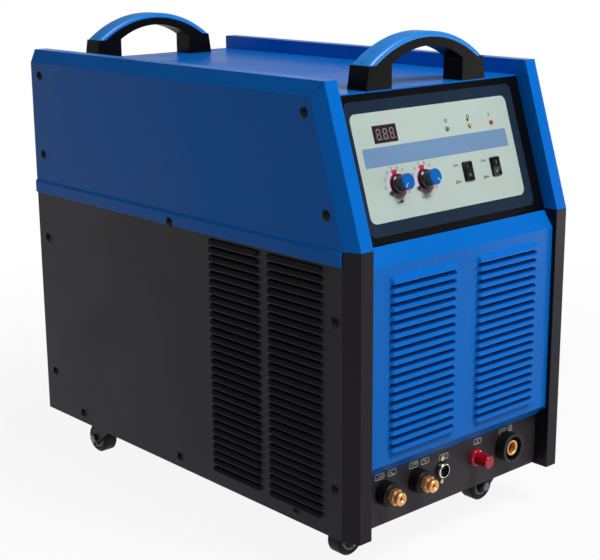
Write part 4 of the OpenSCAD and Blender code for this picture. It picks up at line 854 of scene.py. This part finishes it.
# %% Signs over the terminals
SHEET_INK = (0, LAYER)
FRAME_LINE, MARK_LINE = 0.85, 0.9
TORCH_FRAMES, ARC_FRAMES = (-116.0, -63.7), (-97.0, -45.5)
EARTH_X, PLUS_X, SIGN_Y = 85.7, 99.1, 56.6
marks = bmesh.new()
for x, y, wide, tall in ((-116.0, 57.5, 13.0, 6.0), (-97.0, 57.2, 12.0, 6.0), (-63.7, 56.4, 13.0, 6.0),
                         (-45.5, 55.9, 12.0, 6.0), (-15.4, 52.6, 14.0, 6.0), (41.8, 55.8, 12.0, 6.0),
                         (EARTH_X, 55.8, 12.0, 5.6)):
    corners = rounded(wide, tall, 1.0, (x, y), 2)
    for a, b in zip(corners, corners[1:] + corners[:1]):
        line(marks, a, b, FRAME_LINE, *SHEET_INK)
for x in TORCH_FRAMES:
    line(marks, (x - 4.2, 56.0), (x + 1.2, 57.4), MARK_LINE, *SHEET_INK)
    band(marks, (x + 3.0, 57.3), 0.7, 1.5, 0, 360, *SHEET_INK)
for x in ARC_FRAMES:
    band(marks, (x - 2.0, 56.4), 1.0, 1.8, -90, 90, *SHEET_INK)
    band(marks, (x + 0.8, 56.4), 1.0, 1.8, 90, 270, *SHEET_INK)
band(marks, (-17.6, 52.4), 1.2, 2.0, 0, 360, *SHEET_INK)
band(marks, (-12.6, 52.4), 1.2, 2.0, 180, 360, *SHEET_INK)
spark = ((43.4, 58.0), (40.4, 55.6), (42.9, 56.0), (40.2, 53.6))
for a, b in zip(spark, spark[1:]):
    line(marks, a, b, MARK_LINE, *SHEET_INK)
for dx in (-3.0, 0.0, 3.0):
    line(marks, (EARTH_X + dx - 1.0, 55.8), (EARTH_X + dx + 1.0, 55.8), MARK_LINE, *SHEET_INK)
band(marks, (PLUS_X, SIGN_Y), 2.5, 3.7, 0, 360, *SHEET_INK)
line(marks, (PLUS_X - 1.6, SIGN_Y), (PLUS_X + 1.6, SIGN_Y), MARK_LINE, *SHEET_INK)
line(marks, (PLUS_X, SIGN_Y - 1.6), (PLUS_X, SIGN_Y + 1.6), MARK_LINE, *SHEET_INK)
shape("terminal_signs", marks, TERMINALS, "sign ink")
print("terminals marked")

# %% [markdown]
# ## 24. A rim and a collar
# The output socket's sleeve ends in a thin rounded rim, and the red binding cap has a flared
# collar where it meets the panel. Both are turned parts. They could be stacks of cylinders, but
# a profile spun round an axis gives every curve at once: `lathe` closes a line of (radius, z)
# points and spins it. `use_merge` joins the last step to the first, so that no seam stays open.
# The collar rides on the cap, because it turns with it.

# %% Rim and collar
OUTPUT_X, POST_X, TERMINAL_Y = 89.5, 37.0, 38.0


def lathe(bm, profile, steps=48):
    """Spins a closed profile of (radius, z) points into a ring."""
    corners = [bm.verts.new((r, 0, z)) for r, z in profile]
    edges = [bm.edges.new(pair) for pair in zip(corners, corners[1:] + corners[:1])]
    bmesh.ops.spin(bm, geom=corners + edges, cent=(0, 0, 0), axis=(0, 0, 1), dvec=(0, 0, 0),
                   angle=2 * math.pi, steps=steps, use_merge=True)


# The rim is a paler grey than the sleeve: a painted highlight along its edge.
rim = bmesh.new()
lathe(rim, [(15.7, 13.8), (16.0, 14.15), (16.5, 14.1), (16.7, 13.2), (15.7, 13.2)])
shape("output_sleeve_rim", rim, moved(TERMINALS, OUTPUT_X, TERMINAL_Y), "dark ink",
      smooth=40)
collar = bmesh.new()
lathe(collar, [(7.2, 2.2), (9.5, 2.2), (10.0, 3.2), (9.7, 4.6), (8.8, 5.6), (7.2, 5.9)])
shape("post_collar", collar, moved(TERMINALS, POST_X, TERMINAL_Y), "red plastic",
      "binding_cap", smooth=50)
print("rim and collar turned")

# %% [markdown]
# ## 25. Dark sheets in the seam and behind the louvres
# A dark strip closes the seam between the control panel and the grille, and a dark sheet hangs
# behind each louvre bank. Both are painted shade: they stand where only the shade inside the
# machine would be seen. Without them light would pass through the slots from the far side.
# The insides could be filled with a block, but thin sheets close the view and leave the real space free.

# %% Dark sheets for painted shade
SHADE_STRIP_HALF, SHADE_STRIP_FOOT, SHADE_STRIP_TOP, SHADE_STRIP_DEPTH = 138.0, -2.1, 0.35, (-9.0, -3.0)
SHADE_SHEETS = {  # from and to across, backwards and upwards in the cabinet, in mm
    "front": ((-150, 150), (30, 31.2), (78, 298)),
    "left": ((-159.2, -158), (46, 236), (26, 300)),
    "right": ((158, 159.2), (46, 236), (26, 300)),
}
# The strip is painted shade, where the seam would show only the shade inside.
shade_strip = bmesh.new()
prism(shade_strip, [(-SHADE_STRIP_HALF, SHADE_STRIP_FOOT), (SHADE_STRIP_HALF, SHADE_STRIP_FOOT), (SHADE_STRIP_HALF, SHADE_STRIP_TOP),
             (-SHADE_STRIP_HALF, SHADE_STRIP_TOP)], *SHADE_STRIP_DEPTH)
shape("seam_shade_strip", shade_strip, PANEL, "tyre rubber and seam shade")
# Each sheet is painted shade, where a louvre bank would show only the shade inside.
for name, ((x0, x1), (y0, y1), (z0, z1)) in SHADE_SHEETS.items():
    shade_sheet = bmesh.new()
    prism(shade_sheet, [(x0, y0), (x1, y0), (x1, y1), (x0, y1)], z0, z1)
    shape("shade_sheet_" + name, shade_sheet, CABINET, "shade sheet black")
print("seam closed, and", len(SHADE_SHEETS), "dark shade sheets hung")

# %% [markdown]
# ## 26. Signs at the back
# The earth stud has its usual sign above it, three strokes under an upright one, and the breaker
# has I and O at the ends of its lever's travel. They are the same strokes as in front, in one
# bmesh, because they share a finish. The breaker's marks are raised to its face.

# %% Signs at the back
STUD_X, BREAKER_X = -82, 82
BREAKER_FACE = (4.5, 4.5 + LAYER)
rear = bmesh.new()
for across, y in ((6.5, 81.0), (4.2, 78.6), (1.9, 76.2)):
    line(rear, (STUD_X - across / 2, y), (STUD_X + across / 2, y), 0.8, *SHEET_INK)
line(rear, (STUD_X, 81.0), (STUD_X, 86.0), 0.8, *SHEET_INK)
line(rear, (BREAKER_X, 169.0), (BREAKER_X, 175.0), 1.1, *BREAKER_FACE)
band(rear, (BREAKER_X, 128.0), 2.1, 3.1, 0, 360, *BREAKER_FACE)
shape("rear_signs", rear, REAR, "sign ink")
print("back marked")

# %% [markdown]
# ## 27. Screws of the control socket
# The socket's shell is nickel plated, but the two screws that hold it are yellow zinc, and all
# are one CAD node. It could be split in two, but a node's mesh stays as it is. A face can point
# at a second material slot instead, so each face that lies far from the socket's axis gets it.

# %% Screws of the control socket
SOCKET_X, SCREWS_FROM = -18.5, 9.5
SOCKET_AXIS = Vector((SOCKET_X, FLOOR + TERMINAL_Y)) * MM


def second_finish(node, finish_name, chosen):
    """Gives a second material to the faces of a node whose middles are chosen."""
    mesh = nodes[node].data
    mesh.materials.append(M[finish_name])
    picked = [face for face in mesh.polygons if chosen(face.center)]
    for face in picked:
        face.material_index = 1
    return len(picked)


count = second_finish("control_socket", "yellow zinc",
                      lambda at: (Vector((at.x, at.z)) - SOCKET_AXIS).length > SCREWS_FROM * MM)
print(count, "screw faces in yellow zinc")

# %% [markdown]
# ## 28. Mitre lines
# The covers are folded from flat sheet, so a fine line runs where two folds meet at a corner. A
# groove in the mesh would change the CAD node. A thin dark bar that is half sunk in the surface
# looks the same: `rod` bevels a curve into a round bar and closes its ends.

# %% Mitre lines
def rod(bm, path, radius, closed=False):
    """A round bar along a path: a curve with a bevel, made into a mesh."""
    curve = bpy.data.curves.new("bar", "CURVE")
    curve.dimensions, curve.use_fill_caps = "3D", True
    curve.bevel_depth, curve.bevel_resolution = radius, 2
    spline = curve.splines.new("POLY")
    spline.points.add(len(path) - 1)
    for point, spot in zip(spline.points, path):
        point.co = (*spot, 1)
    spline.use_cyclic_u = closed
    pour(bm, curve)


MITRE_TOP, MITRE_FOOT, MITRE_RADIUS = (163.0, SLOPE_RUN, TALL), (170.0, 66.2, 458.0), 0.45
for side, label in ((-1, "left"), (1, "right")):
    mitre = bmesh.new()
    rod(mitre, [(side * x, y, z) for x, y, z in (MITRE_TOP, MITRE_FOOT)], MITRE_RADIUS)
    shape("mitre_line_" + label, mitre, CABINET, "seam shadow", smooth=60)
print("mitre lines drawn")

# %% [markdown]
# ## 29. Ovals on the grips
# Each grip has an oval mark moulded in near both of its ends. It is drawn as a thin bar of darker
# blue, and that darker blue is painted shade in the moulded line. The grip is curved, so a flat oval
# would sink into it at one side and float at the other. `ray_cast` finds where a ray from above
# meets a mesh, and so it drops every point of the outline on to the real surface.

# %% Ovals on the grips
OVAL_X, OVAL_LONG, OVAL_SHORT, OVAL_STEPS = 77.0, 8.6, 4.6, 32
OVAL_LINE, OVAL_LIFT = 0.28, 0.02


def dropped(node, x, y, lift):
    """The point of a node's upper surface under cabinet (x, y), in cabinet mm, lifted a little."""
    start = CABINET @ Vector((x, y, 700.0))
    _, spot, normal, _ = nodes[node].ray_cast(start, Vector((0, 0, -1)))
    return (CABINET.inverted() @ spot) + normal * lift


for node, middle in (("front_grip", 79.67), ("rear_grip", 565.0)):
    for side, label in ((-1, "left"), (1, "right")):
        angles = [2 * math.pi * step / OVAL_STEPS for step in range(OVAL_STEPS)]
        oval = bmesh.new()
        rod(oval, [dropped(node, side * OVAL_X + OVAL_LONG * math.cos(a),
                           middle + OVAL_SHORT * math.sin(a), OVAL_LIFT) for a in angles],
            OVAL_LINE, closed=True)
        shape(node + "_oval_" + label, oval, CABINET, "grip groove painted shade", smooth=60)
print("four ovals on the grips")

# %% [markdown]
# ## 30. Caster hubs and axle bolts
# A caster's wheel is a rubber tyre on a paler plastic hub, and a dull bolt holds it in its fork.
# The wheel is one CAD node, so the hub is shown by a turned ring on each face, which rides on
# the wheel and rolls with it. Its middle is measured from the node's own points. The bolt's
# faces stand outside the cheeks of the fork, and get a second material slot.

# %% Caster hubs and axle bolts
HUB_FOOT, HUB_FACE, CHEEK = 6.9, 9.7, 13.6  # distances from the wheel's middle plane
for wheel in CORNERS:
    at_front = wheel[0] == "f"
    points = [vert.co for vert in nodes["caster_wheel_" + wheel].data.vertices]
    centre = Vector([(min(p[i] for p in points) + max(p[i] for p in points)) / 2 for i in range(3)])
    turn = Matrix.Rotation(math.pi / 2, 4, "X" if at_front else "Y")
    for face, label in ((-1, "_a"), (1, "_b")):
        ring = bmesh.new()
        lathe(ring, [(9.7, HUB_FOOT * face), (9.9, HUB_FACE * face), (12.5, HUB_FACE * face),
                     (12.8, HUB_FOOT * face)], 40)
        shape("hub_ring_" + wheel + label, ring, Matrix.Translation(centre) @ turn @ Matrix.Scale(MM, 4),
              "hub plastic", "caster_wheel_" + wheel, smooth=50)
    axle = 1 if at_front else 0
    count = second_finish("caster_fork_" + wheel, "dull zinc",
                          lambda at: abs(at[axle] - centre[axle]) > CHEEK * MM)
    print("caster", wheel, "has its hub rings and", count, "bolt faces")

# %% [markdown]
# ## 31. Soft lamps
# A studio lights such a cabinet with large softboxes, whose light has no hard edge. A sun or a
# spot would be simpler, but a wide disc gives the soft highlights on the folds. The key lamp
# hangs in front and above, two others fill the side and the top, and a low one lifts the front.

# %% Lamps
def lamp(name, at, aim, size, power):
    """A round area light at a point, aimed at another."""
    light = bpy.data.lights.new(name, "AREA")
    light.shape, light.size, light.energy = "DISK", size, power
    holder = add(name, light)
    holder.location = at
    holder.rotation_euler = (Vector(aim) - Vector(at)).to_track_quat("-Z", "Y").to_euler()


lamp("key light", (0.18, -1.5, 2.1), (0, -0.1, 0.25), 1.0, 44)
lamp("fill light", (-2.3, -0.9, 1.0), (0, 0, 0.3), 1.6, 1.0)
lamp("top light", (-1.0, 0.7, 2.3), (0, 0, 0.3), 1.4, 4)
lamp("low light", (1.7, -1.0, 0.15), (0.05, -0.28, 0.1), 0.4, 5)
print(len(bpy.data.lights), "lamps")

# %% [markdown]
# ## 32. The world
# The backdrop is white to the camera, but as a light source it would wash out the colours. Light
# Path tells which kind of ray asks: the camera and glass see full white, reflections see a
# bright horizon and a soft ceiling, and everything else only gets a tenth.

# %% World
world = bpy.context.scene.world or bpy.data.worlds.new("studio")
bpy.context.scene.world = world
tree = cleared(world)
ray = put(tree, "LightPath").outputs
height = put(tree, "SeparateXYZ", Vector=put(tree, "TexCoord").outputs["Generated"]).outputs["Z"]
walls = put(tree, "MapRange", Value=height, From_Min=0.02, From_Max=0.25, To_Min=1.0, To_Max=0.12)
ceiling = put(tree, "MapRange", Value=height, From_Min=0.75, From_Max=0.92, To_Min=0.0, To_Max=0.5)
backdrop = math_node(tree, "MAXIMUM", walls.outputs["Result"], ceiling.outputs["Result"])
mirrored = math_node(tree, "MULTIPLY", ray["Is Glossy Ray"], backdrop)
seen = math_node(tree, "MAXIMUM", ray["Is Camera Ray"], mirrored)
shown = math_node(tree, "MAXIMUM", seen, ray["Is Transmission Ray"])
strength = put(tree, "MapRange", Value=shown, To_Min=0.1, To_Max=1.0)
sky = put(tree, "Background", Color=(1, 1, 1, 1), Strength=strength.outputs["Result"])
tree.links.new(sky.outputs[0], put(tree, "OutputWorld").inputs["Surface"])
print("world ready")

# %% [markdown]
# ## 33. The floor
# The floor has to be as white as the backdrop and still keep the machine's soft shadow. A white
# diffuse floor alone turns grey, and a glowing one alone has no shadow, so the two are mixed:
# to the camera most of it glows, and all of it does further out.

# %% Floor
FLOOR_RADIUS, FLOOR_SIDES, FLOOR_TOP = 20.0, 64, -0.0005
ground = bmesh.new()
angles = [2 * math.pi * side / FLOOR_SIDES for side in range(FLOOR_SIDES)]
prism(ground, [(FLOOR_RADIUS * math.cos(a), FLOOR_RADIUS * math.sin(a)) for a in angles], -0.01, FLOOR_TOP)
mesh = bpy.data.meshes.new("floor")
ground.to_mesh(mesh)
ground.free()
floor = add("floor", mesh)
pale = bpy.data.materials.new("pale floor")
tree = cleared(pale)
ray = put(tree, "LightPath").outputs
seen = math_node(tree, "MAXIMUM", ray["Is Camera Ray"], ray["Is Glossy Ray"])
tone = put(tree, "MapRange", Value=seen, To_Min=0.5, To_Max=0.9)
lit = put(tree, "BsdfDiffuse", Color=tone.outputs["Result"])
white = put(tree, "Emission", Color=(1, 1, 1, 1), Strength=1.0)
reach = put(tree, "VectorMath", operation="LENGTH", in0=put(tree, "TexCoord").outputs["Object"])
fade = put(tree, "MapRange", Value=reach.outputs["Value"], From_Min=0.4, From_Max=1.3, To_Min=0.9, To_Max=1.0)
share = math_node(tree, "MULTIPLY", seen, fade.outputs["Result"])
mixed = put(tree, "MixShader", in0=share, in1=lit.outputs[0], in2=white.outputs[0])
tree.links.new(mixed.outputs[0], put(tree, "OutputMaterial").inputs["Surface"])
mesh.materials.append(pale)
print("floor laid")

# %% [markdown]
# ## 34. The camera
# The camera looks from the front left, a little above. A long lens keeps the cabinet's edges
# nearly parallel, as the eye sees them from across a room. The camera could be turned by hand.
# Here three axes are built from two angles and a trace of roll, and make up its rotation.

# %% Camera
AZIMUTH, ELEVATION, ROLL = math.radians(-42.04), math.radians(14.55), math.radians(-0.38)
CAMERA_AT = (-1.06195, -1.20745, 0.66765)
back = Vector((math.sin(AZIMUTH) * math.cos(ELEVATION), -math.cos(AZIMUTH) * math.cos(ELEVATION),
               math.sin(ELEVATION)))
right = (-back).cross(Vector(UP)).normalized()
up = back.cross(right)
right, up = math.cos(ROLL) * right + math.sin(ROLL) * up, math.cos(ROLL) * up - math.sin(ROLL) * right
lens = bpy.data.cameras.new("camera")
lens.lens, lens.sensor_width, lens.sensor_fit = 80.66, 36.0, "HORIZONTAL"
lens.clip_start, lens.clip_end = 0.05, 60.0
camera = add("camera", lens)
camera.matrix_world = Matrix.Translation(CAMERA_AT) @ Matrix((right, up, back)).transposed().to_4x4()
bpy.context.scene.camera = camera
bpy.context.scene.view_settings.view_transform = "Standard"
print("camera at", CAMERA_AT)
